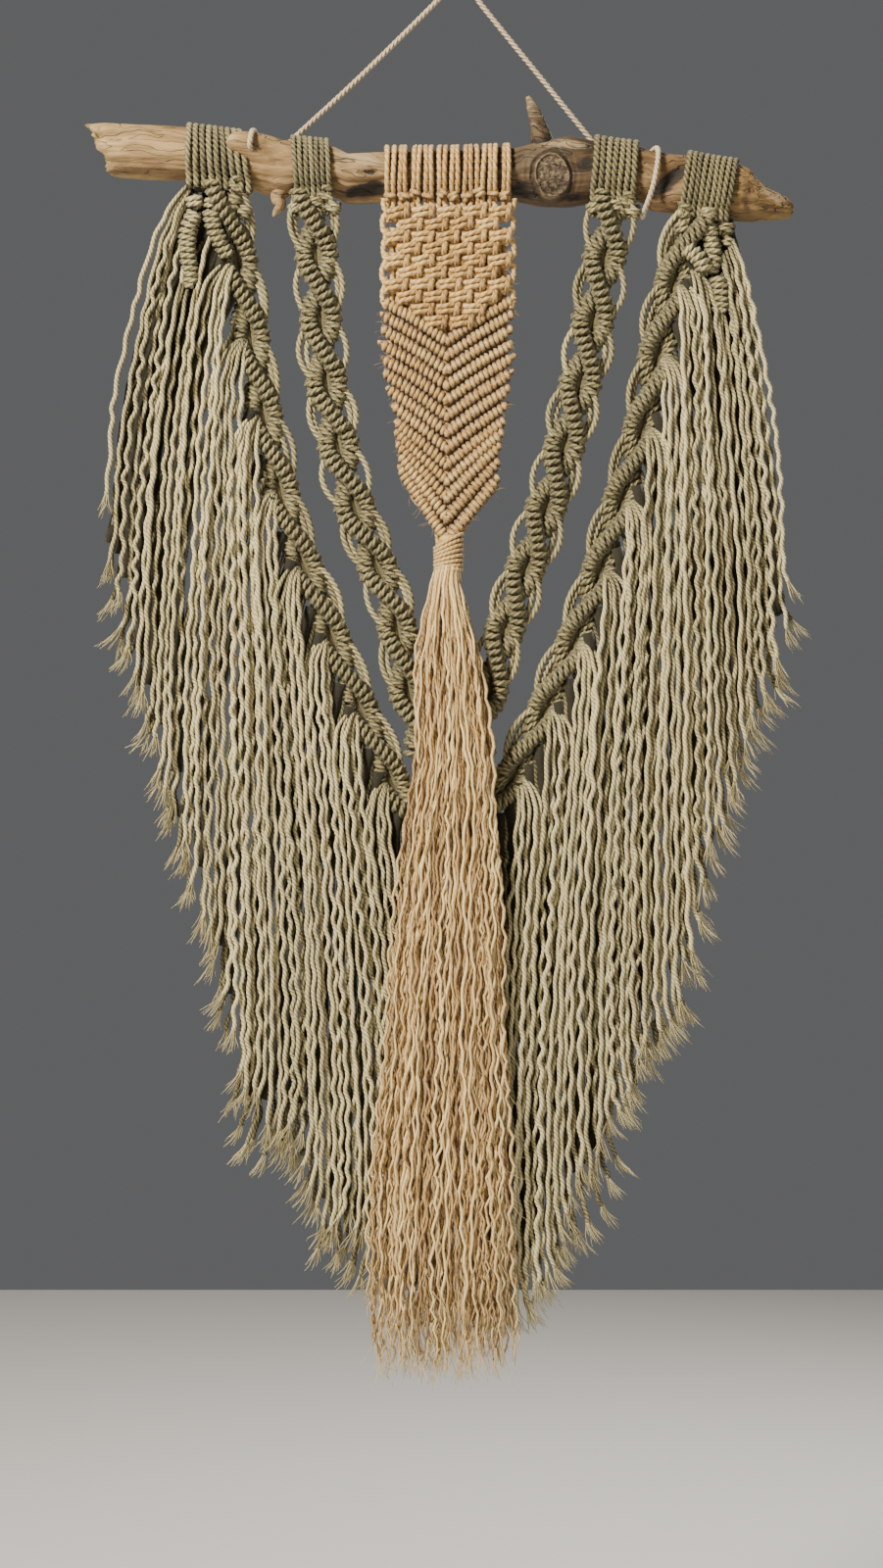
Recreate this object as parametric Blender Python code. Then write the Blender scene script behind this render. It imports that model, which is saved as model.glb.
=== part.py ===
"""Macrame wall hanging on a driftwood stick. Metres, +Z up, the hanging point at the origin.

+X runs to the viewer's right, +Y into the wall. Tables are in millimetres: `across` is X, `drop` is
the way down from the hanging point and `depth` is Y, so the front has the more negative depths.
"""

import math
import random

import bmesh
import bpy
import numpy as np

mm = 0.001

# Driving dimensions, mm
cordWidth = 4.7          # one sage or jute cord
gap = 0.3                # between two pieces that touch
stickDepth = -24.0       # centre plane of the driftwood
stickSides = 12
wrapThickness = 4.7      # a heading's cords on the stick
wrapClearance = 0.6
grooveThickness = 2.9    # between two of those cords
headingFront = 17.0      # a panel leaves its heading this far in front of the stick's middle
swingBack = 45.0         # and reaches its own plane this far down
hangingCordWidth = 4.0

panelDepth = -41.5       # centre jute panel
panelThickness = 7.0
tasselDepth = -46.5
bandDepth = -33.0
diagonalDepth = -23.5

fringeLayers = (-33.0, -21.0)
strandsPerLayer = 33
stripHalfWidth = 3.0
stripClearance = {-1: 0.7, 1: -0.2}   # left and right, from the knots' ideal reach
stripDepths = (-36.0, -18.5)
frontShorter = 36.0      # the front layer ends up to this far above the outline
raggedEnd = 9.0
tuftLength = 20.0

stickColumns = ("across", "drop", "halfHeight", "halfDepth")
stickSections = [
    (-281, 138, 19, 15),
    (-270, 138, 20, 18),
    (-240, 140, 20, 19),
    (-209, 142, 19, 19),
    (-165, 147, 19, 19),
    (-150, 150, 21, 19),
    (-131, 152, 21, 19),
    (-98, 153, 19, 19),
    (-86, 159, 19, 19),
    (-58, 158, 19, 19),
    (-7, 158, 19, 19),
    (41, 157, 19, 19),
    (61, 156, 24, 20),
    (83, 155, 26, 20),
    (102, 155, 23, 19),
    (120, 155, 20, 19),
    (139, 157, 20, 19),
    (147, 162, 22, 19),
    (172, 165, 22, 19),
    (193, 168, 21, 19),
    (215, 171, 21, 18),
    (230, 177, 15, 14),
    (244, 181, 9, 9),
    (256, 183, 3, 4),
]

# Lark's-head headings: each rib is one doubled cord round the stick
headingColumns = ("left", "right", "ribs")
headings = {
    "left_fringe_band": (-209, -165, 4),
    "left_band": (-129, -99, 4),
    "centre_panel": (-58, 41, 9),
    "right_band": (101, 137, 4),
    "right_fringe_band": (172, 214, 5),
}

# Knotted bands, centre lines from the stick down
bandColumns = ("across", "drop")
leftBandLine = [(-113, 170.5), (-109, 224), (-101, 322), (-81, 409), (-52, 488), (-40, 549), (-27, 601)]
rightBandLine = [(118, 173), (110, 226), (92, 319), (67, 410), (36, 501), (23, 549), (12, 601)]
bandRepeats = 9
bandHalfWidth = (18.0, 16.0)
ridgesPerRepeat = 3
barHalfDepth = 4.4
grooveShare = 0.72
barLift = 3.2            # how far one bar lies in front of the other where they cross
barShare = 0.48          # a bar's half width, of the band's
loopReach = 0.40         # a loop runs this share of a repeat above and below its crossing
loopBulge = 0.30

leftDiagonalLine = [
    (-180, 163), (-175, 197), (-164, 257), (-155, 316), (-144, 371), (-129, 431),
    (-109, 482), (-86, 543), (-61, 600), (-41, 643), (-12, 664),
]
rightDiagonalLine = [
    (182, 184.5), (170, 218), (156, 275), (147, 320), (135, 371), (119, 423), (102, 478),
    (82, 529), (59, 581), (36, 627), (9, 664),
]
diagonalRepeats = 9
diagonalHalfWidth = (15.0, 13.0)

# Bottom outlines of the fringes
outlineColumns = ("across", "drop")
leftFringeEnds = [
    (-268, 476), (-255, 526), (-239, 586), (-224, 651), (-200, 730), (-178, 827), (-159, 922),
    (-120, 930), (-101, 998), (-74, 1022), (-30, 1040), (-8, 1080),
]
rightFringeEnds = [
    (9, 1055), (53, 1046), (75, 997), (104, 968), (115, 905), (133, 869), (164, 819), (175, 777),
    (189, 702), (208, 652), (227, 582), (243, 556), (247, 496),
]
leftFringeTop = [(-217, 173), (-198, 175), (-196, 182)]
rightFringeTop = [(221, 204), (206, 203), (204, 212)]
stripEnd = (5.0, 690.0)   # across, either side of the middle, and drop

# Centre panel: edges of the cloth
panelColumns = ("drop", "left", "right")
panelEdges = [
    (175.5, -57, 40), (262, -58, 40), (294, -60, 40), (330, -52, 36), (367, -45, 30), (405, -42, 26),
    (425, -24, 9), (439, -17, 2),
]
knotRows = 13
panelColumnsAcross = 11
knotAreaBottom = 272
chevronBars = 9
barDrop = 31.0           # how much lower a chevron bar is in the middle than at its ends
veeStart, veeEnd = 20.0, 60.0    # the chevron's first and last bars flatten over these drops
edgeRelief = 0.4
reliefHeight = 3.0

# Gathering wrap and tassel
wrapTop, wrapBottom = 439.3, 466
wrapTurns = 5
wrapMiddle = -8.5
wrapRidge = (11.5, 8.5)  # half width and half depth
wrapGroove = (10.0, 7.2)
tasselColumns = ("drop", "left", "right")
tasselEdges = [
    (470, -22, 0), (526, -33, 16), (609, -35, 27), (669, -44, 31), (774, -55, 35), (849, -61, 38),
    (961, -70, 42), (1040, -72, 47), (1074, -62, 40),
]
tasselHeadBottom = 528
tasselHalfDepth = 8.2
headDrops = (482, 505, tasselHeadBottom)
tasselLayers = ((11, -1), (12, 0), (11, 1))      # strands, and place from front to back
layerSpread = (3.6, 4.4, 4.6, 4.6, 4.6)
tasselBottom = 1074
tasselRounding = 40.0    # how much sooner its sides end
tasselRagged = 34.0

hangingCordRoute = [
    (-152.8, 150.8, -1.5), (-143, 141.3, -0.8), (-134, 129, 0), (-80, 79, 0), (-26, 26, 0),
    (-9, 8.2, 0), (-3, 2.4, 0), (0, 1.2, 0), (3, 2.4, 0), (9, 9, 0), (20, 24, 0), (60, 73, 1),
    (106, 129, 2.6), (126, 152, 4), (138, 160, 3.6), (146.4, 163.2, -1.2),
]
hangingCordPoints = 44
tieLeftAcross = -156.5
tieRightAcross = 149.6

sage = (0.42, 0.40, 0.28)
jute = (0.60, 0.43, 0.24)
paleTwine = (0.62, 0.52, 0.38)
wood = (0.42, 0.30, 0.19)


def clearScene():
    for item in list(bpy.data.objects):
        bpy.data.objects.remove(item, do_unlink=True)


def makeMaterial(name, colour, roughness):
    material = bpy.data.materials.new(name)
    material.use_nodes = True
    shader = material.node_tree.nodes["Principled BSDF"]
    shader.inputs["Base Color"].default_value = (*colour, 1.0)
    shader.inputs["Roughness"].default_value = roughness
    shader.inputs["Metallic"].default_value = 0.0
    return material


def place(across, drop, depth):
    return np.array((across, depth, -drop)) * mm


def smoothLine(points, count):
    """Catmull-Rom curve through the points, resampled to `count` even steps."""
    knots = np.array(points, float)
    knots = np.vstack((2 * knots[0] - knots[1], knots, 2 * knots[-1] - knots[-2]))
    pieces = []
    for k in range(1, len(knots) - 2):
        a, b, c, d = knots[k - 1:k + 3]
        t = np.linspace(0, 1, 24, endpoint=False)[:, None]
        pieces.append(0.5 * (2 * b + (c - a) * t + (2 * a - 5 * b + 4 * c - d) * t ** 2
                             + (3 * b - a - 3 * c + d) * t ** 3))
    fine = np.vstack(pieces + [knots[-2:-1]])
    run = np.concatenate(([0], np.cumsum(np.linalg.norm(np.diff(fine, axis=0), axis=1))))
    even = np.linspace(0, run[-1], count)
    return np.column_stack([np.interp(even, run, fine[:, k]) for k in range(fine.shape[1])])


def meshObject(name, bm, material):
    bmesh.ops.recalc_face_normals(bm, faces=bm.faces)
    mesh = bpy.data.meshes.new(name)
    bm.to_mesh(mesh)
    bm.free()
    mesh.materials.append(material)
    mesh.shade_smooth()
    mesh.set_sharp_from_angle(angle=math.radians(30))
    item = bpy.data.objects.new(name, mesh)
    bpy.context.scene.collection.objects.link(item)
    return item


def fuse(target, *others):
    """Joins closed shapes into one body; the others stay as hidden guides."""
    for other in others:
        other.hide_render = True
        other.display_type = "WIRE"
        union = target.modifiers.new("union with " + other.name, "BOOLEAN")
        union.operation = "UNION"
        union.solver = "EXACT"
        union.object = other
    return target


def addRings(bm, rings, loop=False):
    """Skins rings of points; open tubes get end caps, a loop closes on itself."""
    rows = [[bm.verts.new(point) for point in ring] for ring in rings]
    pairs = list(zip(rows, rows[1:]))
    if loop:
        pairs.append((rows[-1], rows[0]))
    for near, far in pairs:
        for k in range(len(near)):
            n = (k + 1) % len(near)
            bm.faces.new((near[k], near[n], far[n], far[k]))
    if not loop:
        bm.faces.new(rows[0])
        bm.faces.new(rows[-1])


def addTube(bm, line, halfWidths, halfDepths, sides, turn=0.0):
    """Tube along a line of (across, drop, depth): an ellipse across each point."""
    points = np.array([place(*point) for point in line])
    tangents = np.gradient(points, axis=0)
    tangents /= np.linalg.norm(tangents, axis=1)[:, None]
    sideways = np.cross(tangents, (0, 1, 0))
    sideways /= np.linalg.norm(sideways, axis=1)[:, None]
    forward = np.cross(sideways, tangents)
    angles = turn + np.arange(sides) * 2 * math.pi / sides
    widths = np.broadcast_to(halfWidths, len(points)) * mm
    depths = np.broadcast_to(halfDepths, len(points)) * mm
    rings = (points[:, None]
             + np.cos(angles)[None, :, None] * sideways[:, None] * widths[:, None, None]
             + np.sin(angles)[None, :, None] * forward[:, None] * depths[:, None, None])
    addRings(bm, rings)


# --- driftwood ---

def stickRings():
    """Section points of the stick: (centre, ring) at each row of its table, slightly lumpy."""
    table = np.array(stickSections, float)
    angles = np.arange(stickSides) * 2 * math.pi / stickSides
    across, drop, halfHeight, halfDepth = (table[:, [k]] for k in range(4))
    lumps = 1 + 0.03 * np.sin(3 * angles + across / 60) + 0.015 * np.sin(5 * angles - across / 50)
    up = np.sin(angles) * halfHeight * lumps
    back = np.cos(angles) * halfDepth * lumps
    rings = np.stack((across + 0 * angles, drop - up, stickDepth + back), axis=2)
    centres = np.column_stack((table[:, 0], table[:, 1], np.full(len(table), stickDepth)))
    return centres, rings


stickCentres, stickOutline = stickRings()


def stickSectionAt(across):
    """Centre and ring of the stick at any place along it, straight between the table's rows."""
    x = stickCentres[:, 0]
    centre = np.array([np.interp(across, x, stickCentres[:, k]) for k in range(3)])
    ring = np.array([[np.interp(across, x, stickOutline[:, s, k]) for k in range(3)]
                     for s in range(stickSides)])
    return centre, ring


def stickShell(across, offset):
    """The stick's ring at `across`, grown outward by `offset`, as points in metres."""
    centre, ring = stickSectionAt(across)
    outward = ring - centre
    outward /= np.linalg.norm(outward, axis=1)[:, None]
    return [place(*point) for point in ring + outward * offset]


def makeDriftwood(material):
    rings = stickOutline.copy()
    splinters = (0, 2, 7, -1, -9, -4, -7, 1, 6, 13, 8, 11)
    rings[0, :, 0] += np.array(splinters)
    bm = bmesh.new()
    addRings(bm, [[place(*point) for point in ring] for ring in rings])
    stick = meshObject("driftwood", bm, material)

    bm = bmesh.new()
    spurLine = [(66, 142, -24), (61, 122, -27), (57, 110, -29), (52, 98.5, -30)]
    addTube(bm, spurLine, (9, 6.5, 5, 2.5), (8, 6, 4.5, 2), 7)
    spur = meshObject("spur guide", bm, material)

    bm = bmesh.new()
    knotLine = [(70, 160.5, -38), (70, 160.5, -44.6), (70, 160.5, -46)]
    knotHalf = (12.5, 11, 6)
    rings = []
    for (across, drop, depth), half in zip(knotLine, knotHalf):
        angles = np.arange(10) * 2 * math.pi / 10
        rings.append([place(across + half * math.cos(a), drop + 1.1 * half * math.sin(a), depth)
                      for a in angles])
    addRings(bm, rings)
    knot = meshObject("wood knot guide", bm, material)
    return fuse(stick, spur, knot)


# --- headings ---

def headingGuide(name, material):
    """Sleeve of the heading's cords round the stick, one ridge to a doubled cord."""
    left, right, ribs = headings[name]
    edges = np.linspace(left, right, 2 * ribs + 1)
    bm = bmesh.new()
    rings = []
    for k, across in enumerate(edges):
        ridge = wrapThickness if k % 2 else grooveThickness
        rings.append(stickShell(across, wrapClearance + ridge))
    inner = [left] + [x for x in stickCentres[:, 0] if left < x < right] + [right]
    for across in reversed(inner):
        rings.append(stickShell(across, wrapClearance))
    addRings(bm, rings, loop=True)
    return meshObject(name + " heading guide", bm, material)


def hangDepth(drop, top, depth):
    """Depth of a panel: it leaves the stick's front and swings back to its own plane."""
    ease = min(max((drop - top) / swingBack, 0), 1)
    front = stickDepth - headingFront
    return front + (depth - front) * ease * ease * (3 - 2 * ease)


# --- knotted bands ---

def bandFrame(line, depth, count):
    """Centre, sideways direction and run down the band at `count` even steps."""
    centre = smoothLine(line, count)
    along = np.gradient(centre, axis=0)
    along /= np.linalg.norm(along, axis=1)[:, None]
    sideways = np.column_stack((along[:, 1], -along[:, 0]))
    depths = [hangDepth(drop, centre[0, 1], depth) for drop in centre[:, 1]]
    return centre, sideways, np.array(depths)


def knottedBand(name, line, depth, repeats, halfWidths, loopSides, material):
    """Two ridged bars that cross at every repeat, with loose loops past each crossing."""
    steps = repeats * ridgesPerRepeat * 2 + 1
    centre, sideways, depths = bandFrame(line, depth, steps)
    phase = np.linspace(0, repeats, steps)
    reach = np.linspace(*halfWidths, steps)
    barHalf = barShare * reach
    swing = reach - barHalf
    ridge = np.where(np.arange(steps) % 2, 1.0, grooveShare)
    bars = []
    for direction in (-1, 1):
        offset = direction * swing * np.sin(math.pi * (phase + 0.5))
        points = centre + sideways * offset[:, None]
        lift = direction * barLift * np.cos(math.pi * (phase + 0.5))
        bm = bmesh.new()
        addTube(bm, np.column_stack((points, depths + lift)), barHalf * ridge,
                barHalfDepth * ridge, 4)
        bars.append(meshObject(f"{name} bar guide {direction}", bm, material))

    bm = bmesh.new()
    for crossing in np.arange(0.5, repeats - 1):
        for side in loopSides:
            t = np.linspace(-loopReach, loopReach, 4)
            where = crossing + t
            across = np.interp(where, phase, centre[:, 0])
            drop = np.interp(where, phase, centre[:, 1])
            out = np.interp(where, phase, reach)
            sx = np.interp(where, phase, sideways[:, 0])
            sy = np.interp(where, phase, sideways[:, 1])
            away = side * (out - 0.45 * cordWidth - loopBulge * out * (t / loopReach) ** 2)
            deep = np.interp(where, phase, depths)
            line3 = np.column_stack((across + sx * away, drop + sy * away, deep))
            addTube(bm, line3, 0.5 * cordWidth, 0.5 * cordWidth, 3, 0.4)
    loops = meshObject(name + " loops guide", bm, material)

    band = bars[0]
    band.name = name
    fuse(band, bars[1], loops, headingGuide(name, material))
    return band


# --- fringes ---

def outerEdge(line, side, clear, count):
    """Line that follows a diagonal at its outer side, `clear` past the widest knots."""
    centre, sideways, depths = bandFrame(line, 0, count)
    reach = np.linspace(*diagonalHalfWidth, count) + clear
    return centre + sideways * (side * reach)[:, None]


def makeFringe(name, top, line, side, ends, seed, material):
    """Strands that fall from a narrow slanted strip beside the knotted diagonal."""
    rng = random.Random(seed)
    edge = outerEdge(line, side, stripClearance[side] + stripHalfWidth, 2 * diagonalRepeats + 1)
    edge = edge[edge[:, 1] > top[-1][1] + 12]
    strip = np.vstack((top, edge, [(side * stripEnd[0], stripEnd[1])]))
    middle = 0.5 * (stripDepths[0] + stripDepths[1])
    halfThickness = 0.5 * (stripDepths[1] - stripDepths[0])
    bm = bmesh.new()
    addTube(bm, np.column_stack((strip, np.full(len(strip), middle))), stripHalfWidth * 1.414,
            halfThickness * 1.414, 4, math.pi / 4)
    backing = meshObject(name, bm, material)

    order = np.argsort(strip[:, 0])
    stripAcross, stripDrop = strip[order, 0], strip[order, 1]
    outline = np.array(ends, float)
    outer, inner = (outline[0, 0], outline[-1, 0])[::-side]
    rootOuter, rootInner = (stripAcross[0] + 3, stripAcross[-1] - 3)[::-side]
    bm = bmesh.new()
    for layer, depth in enumerate(fringeLayers):
        for k in range(strandsPerLayer):
            t = (k + 0.5 * layer) / (strandsPerLayer - 0.5)
            foot = outer + (inner - outer) * t
            root = rootOuter + (rootInner - rootOuter) * t
            start = np.interp(root, stripAcross, stripDrop)
            end = np.interp(foot, outline[:, 0], outline[:, 1])
            end -= rng.uniform(0, frontShorter) * (1 - layer) + rng.uniform(0, raggedEnd)
            fractions = np.array((0, 0.25, 0.55, 0.93, 1.0))
            drop = start + (end - start) * fractions
            drop[3] = end - tuftLength
            ease = 1 - (1 - fractions) ** 2
            across = root + (foot - root) * ease
            across[1:] += [rng.uniform(-0.3, 0.3) for _ in fractions[1:]]
            sway = [0, rng.uniform(-0.8, 0.8), rng.uniform(-1.2, 1.2), 0, 0]
            width = np.array((2.3, 2.5, 2.5, 2.2, 3.1))
            addTube(bm, np.column_stack((across, drop, depth + np.array(sway))), width, width, 3,
                    -math.pi / 2)
    strands = meshObject(name + " strands guide", bm, material)
    return fuse(backing, strands)


# --- centre panel ---

def makeCentrePanel(material):
    """Cloth with staggered square knots above and chevron bars below, raised in its points."""
    edges = np.array(panelEdges, float)
    top, bottom = edges[0, 0], edges[-1, 0]
    knotLines = np.linspace(top, knotAreaBottom, knotRows)
    barLines = np.linspace(knotAreaBottom, bottom, 2 * chevronBars + 1)[1:]
    lines = np.concatenate((knotLines, barLines))
    columns = panelColumnsAcross
    bm = bmesh.new()
    rows = []
    for r, line in enumerate(lines):
        row = []
        vee = min(max((line - knotAreaBottom) / veeStart, 0), 1)
        taper = 1 - max(line - (bottom - veeEnd), 0) / veeEnd
        for c in range(columns):
            f = c / (columns - 1)
            lean = 1 - abs(2 * f - 1)
            drop = line + vee * taper * barDrop * (lean - 0.5)
            left = np.interp(drop, edges[:, 0], edges[:, 1])
            right = np.interp(drop, edges[:, 0], edges[:, 2])
            across = left + (right - left) * f
            if r < knotRows:
                raised = (r + c) % 2
            else:
                raised = (r - knotRows) % 2 == 0
            edge = c in (0, columns - 1)
            relief = (edgeRelief if edge else 1.0) * reliefHeight * raised
            depth = panelDepth - 0.5 * panelThickness + reliefHeight - relief
            row.append((across, drop, depth))
        rows.append(row)
    front = [[bm.verts.new(place(*point)) for point in row] for row in rows]
    for r, (near, far) in enumerate(zip(front, front[1:])):
        for k in range(columns - 1):
            corners = (near[k], far[k], far[k + 1], near[k + 1])
            turn = (r + k) % 2
            low, a, otherLow, b = corners[turn:] + corners[:turn]
            if r < knotRows - 1:       # a crease joins the low corners, so each knot is a peak
                bm.faces.new((low, a, otherLow))
                bm.faces.new((low, otherLow, b))
            else:
                bm.faces.new(corners)
    flatBack = panelDepth + 0.5 * panelThickness
    back = [[bm.verts.new((v.co.x, flatBack * mm, v.co.z)) for v in (row[0], row[-1])]
            for row in front]
    for r in range(len(front) - 1):
        bm.faces.new((back[r][0], back[r][1], back[r + 1][1], back[r + 1][0]))
        for side in (0, -1):
            bm.faces.new((front[r][side], front[r + 1][side], back[r + 1][side], back[r][side]))
    bm.faces.new(front[0] + back[0][::-1])
    bm.faces.new(front[-1] + back[-1][::-1])
    bmesh.ops.triangulate(bm, faces=bm.faces)
    panel = meshObject("centre_panel", bm, material)
    return fuse(panel, headingGuide("centre_panel", material))


# --- tassel ---

def tasselEllipse(drop):
    """Middle and half width of the tassel at a drop."""
    edges = np.array(tasselEdges, float)
    left = np.interp(drop, edges[:, 0], edges[:, 1])
    right = np.interp(drop, edges[:, 0], edges[:, 2])
    return 0.5 * (left + right), 0.5 * (right - left)


def makeTassel(material):
    """Gathering wrap, the gathered head under it and the strands that fall from the head."""
    bm = bmesh.new()
    line, wide, deep = [], [], []
    for k, drop in enumerate(np.linspace(wrapTop, wrapBottom, 2 * wrapTurns + 1)):
        line.append((wrapMiddle, drop, panelDepth))
        halfWidth, halfDepth = wrapRidge if k % 2 else wrapGroove
        wide.append(halfWidth)
        deep.append(halfDepth)
    for drop in headDrops:
        middle, half = tasselEllipse(drop)
        forward = np.interp(drop, (wrapBottom, tasselHeadBottom), (panelDepth, tasselDepth))
        line.append((middle, drop, forward))
        wide.append(half)
        deep.append(tasselHalfDepth)
    addTube(bm, line, wide, deep, 12)
    head = meshObject("tassel", bm, material)

    rng = random.Random(8)
    bm = bmesh.new()
    for count, layer in tasselLayers:
        for k in range(count):
            share = (2 * k + 1) / count - 1
            end = tasselBottom - tasselRounding * abs(share) - rng.uniform(0, tasselRagged)
            drops = np.array((tasselHeadBottom - 14, 620, 800, end - tuftLength, end))
            across = [sum(f * v for f, v in zip((1, share), tasselEllipse(drop))) for drop in drops]
            depth = [tasselDepth + layer * spread for spread in layerSpread]
            width = np.array((1.3, 1.9, 2.3, 2.0, 2.6))
            addTube(bm, np.column_stack((across, drops, depth)), width, width * 0.9, 3,
                    -math.pi / 2)
    strands = meshObject("tassel strands guide", bm, material)
    return fuse(head, strands)


# --- hanging cord and its ties ---

def makeHangingCord(material):
    route = smoothLine(hangingCordRoute, hangingCordPoints)
    curve = bpy.data.curves.new("hanging_cord", "CURVE")
    curve.dimensions = "3D"
    curve.bevel_depth = 0.5 * hangingCordWidth * mm
    curve.bevel_resolution = 2
    curve.use_fill_caps = True
    spline = curve.splines.new("POLY")
    spline.points.add(len(route) - 1)
    for point, (across, drop, depth) in zip(spline.points, route):
        point.co = (*place(across, drop, depth), 1.0)
    curve.materials.append(material)
    cord = bpy.data.objects.new("hanging_cord", curve)
    bpy.context.scene.collection.objects.link(cord)
    return cord


def makeTie(name, across, material):
    """One turn of the hanging cord round the stick."""
    half = 0.5 * hangingCordWidth
    bm = bmesh.new()
    rings = []
    sections = [stickShell(across + x, gap + half + y) for x, y in
                ((half, 0), (0.4 * half, half), (-0.8 * half, 0.6 * half),
                 (-0.8 * half, -0.6 * half), (0.4 * half, -half))]
    for s in range(stickSides):
        rings.append([section[s] for section in sections])
    addRings(bm, rings, loop=True)
    return meshObject(name, bm, material)


clearScene()
sageCotton = makeMaterial("sage cotton", sage, 0.9)
juteCord = makeMaterial("jute", jute, 0.92)
hangerCord = makeMaterial("hanging cord", paleTwine, 0.9)
driftwoodGrey = makeMaterial("driftwood", wood, 0.8)

makeDriftwood(driftwoodGrey)
makeHangingCord(hangerCord)
makeTie("hanging_cord_tie_left", tieLeftAcross, hangerCord)
makeTie("hanging_cord_tie_right", tieRightAcross, hangerCord)
knottedBand("left_band", leftBandLine, bandDepth, bandRepeats, bandHalfWidth, (-1, 1), sageCotton)
knottedBand("right_band", rightBandLine, bandDepth, bandRepeats, bandHalfWidth, (-1, 1), sageCotton)
knottedBand("left_fringe_band", leftDiagonalLine, diagonalDepth, diagonalRepeats,
            diagonalHalfWidth, (1,), sageCotton)
knottedBand("right_fringe_band", rightDiagonalLine, diagonalDepth, diagonalRepeats,
            diagonalHalfWidth, (-1,), sageCotton)
makeFringe("left_fringe", leftFringeTop, leftDiagonalLine, -1, leftFringeEnds, 3, sageCotton)
makeFringe("right_fringe", rightFringeTop, rightDiagonalLine, 1, rightFringeEnds, 5, sageCotton)
makeCentrePanel(juteCord)
makeTassel(juteCord)
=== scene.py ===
import math

import bpy
import numpy as np
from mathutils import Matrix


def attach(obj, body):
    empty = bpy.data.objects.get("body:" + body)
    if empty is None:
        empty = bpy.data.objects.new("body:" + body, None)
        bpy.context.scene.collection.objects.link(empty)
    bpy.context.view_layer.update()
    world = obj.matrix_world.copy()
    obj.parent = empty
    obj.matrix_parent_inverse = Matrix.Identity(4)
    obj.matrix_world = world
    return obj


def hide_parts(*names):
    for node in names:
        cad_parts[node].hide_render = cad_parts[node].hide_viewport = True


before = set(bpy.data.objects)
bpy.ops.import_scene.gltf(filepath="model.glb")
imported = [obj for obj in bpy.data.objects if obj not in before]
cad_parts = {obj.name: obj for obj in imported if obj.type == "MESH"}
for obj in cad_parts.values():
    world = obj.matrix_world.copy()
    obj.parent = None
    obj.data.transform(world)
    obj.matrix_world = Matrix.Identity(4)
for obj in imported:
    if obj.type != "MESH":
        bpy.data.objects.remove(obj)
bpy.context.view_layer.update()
mm = 0.001
backward = np.array((0.0, 1.0, 0.0))     # +Y runs into the wall

# Tables are in millimetres: across is X, drop is the way down from the hanging point, depth is Y.


def inFrame(points):
    # (across, drop, depth) in mm becomes (across, depth, -drop) in metres
    return np.asarray(points, float)[..., [0, 2, 1]] * (mm, mm, -mm)


def unit(vectors):
    # each vector divided by its own length
    return vectors / np.maximum(np.linalg.norm(vectors, axis=-1, keepdims=True), 1e-12)


def columnsAt(x, marks, columns):
    # straight lines from mark to mark, for each column
    return [np.interp(x, marks, column) for column in columns]


def tableAt(x, table):
    # a table's other columns where its first one is x
    marks, *columns = np.array(table, float).T
    return columnsAt(x, marks, columns)


def throughPoints(x, table):
    # cubic through a table's points (first column x), its slope at each from the points beside it
    table = np.array(table, float)
    marks, values = table[:, 0], table[:, 1:]
    slopes = np.gradient(values, marks, axis=0)
    k = np.clip(np.searchsorted(marks, x) - 1, 0, len(marks) - 2)
    step = (marks[k + 1] - marks[k])[:, None]
    t = (x - marks[k])[:, None] / step
    return ((1 + 2 * t) * (1 - t) ** 2 * values[k] + t * (1 - t) ** 2 * step * slopes[k]
            + t * t * (3 - 2 * t) * values[k + 1] - t * t * (1 - t) * step * slopes[k + 1])


def runAlong(path):
    # distance covered from a path's first point to each of its points
    steps = np.linalg.norm(np.diff(path, axis=-2), axis=-1)
    return np.concatenate((np.zeros(steps.shape[:-1] + (1,)), np.cumsum(steps, axis=-1)), axis=-1)


def smoothLine(points, count):
    # Catmull-Rom: 0.5 (2b + (c-a)t + (2a-5b+4c-d)t^2 + (3b-a-3c+d)t^3), resampled to even steps
    knots = np.array(points, float)
    knots = np.vstack((2 * knots[0] - knots[1], knots, 2 * knots[-1] - knots[-2]))
    a, b, c, d = (knots[k:len(knots) - 3 + k, None] for k in range(4))
    t = np.linspace(0, 1, 24, endpoint=False)[None, :, None]
    fine = 0.5 * (2 * b + (c - a) * t + (2 * a - 5 * b + 4 * c - d) * t ** 2
                  + (3 * b - a - 3 * c + d) * t ** 3)
    fine = np.vstack((fine.reshape(-1, knots.shape[1]), knots[-2]))
    run = runAlong(fine)
    return np.column_stack(columnsAt(np.linspace(0, run[-1], count), run, fine.T))


# Surfaces and cords

def ringSurface(rings, grid, shade, ply=1.0, flipped=False):
    # quads from ring to ring and one face over each end, all turned over where flipped; a point's
    # place on the map is its grid value, and a quad's far corners lie one point further round
    count, steps, sides = rings.shape[:3]
    index = np.arange(count * steps * sides).reshape(count, steps, sides)
    quads, quadMap = (
        np.stack((near[:, :-1], near[:, 1:], far[:, 1:], far[:, :-1]), axis=3)
        for near, far in ((index, np.roll(index, -1, axis=2)), (grid, grid + (0, 1 / sides))))
    caps, capMap = (np.concatenate((rows[:, 0], rows[:, -1, ::-1])) for rows in (index, grid))
    if flipped:
        turned = [0, 3, 2, 1]
        quads, quadMap = quads[..., turned], quadMap[..., turned, :]
        caps, capMap = caps[:, ::-1], capMap[:, ::-1]
    return {"points": rings.reshape(-1, 3), "quads": quads.reshape(-1, 4),
            "quadMap": quadMap.reshape(-1, 4, 2), "caps": caps, "capMap": capMap,
            "shade": shade, "ply": ply}


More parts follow.
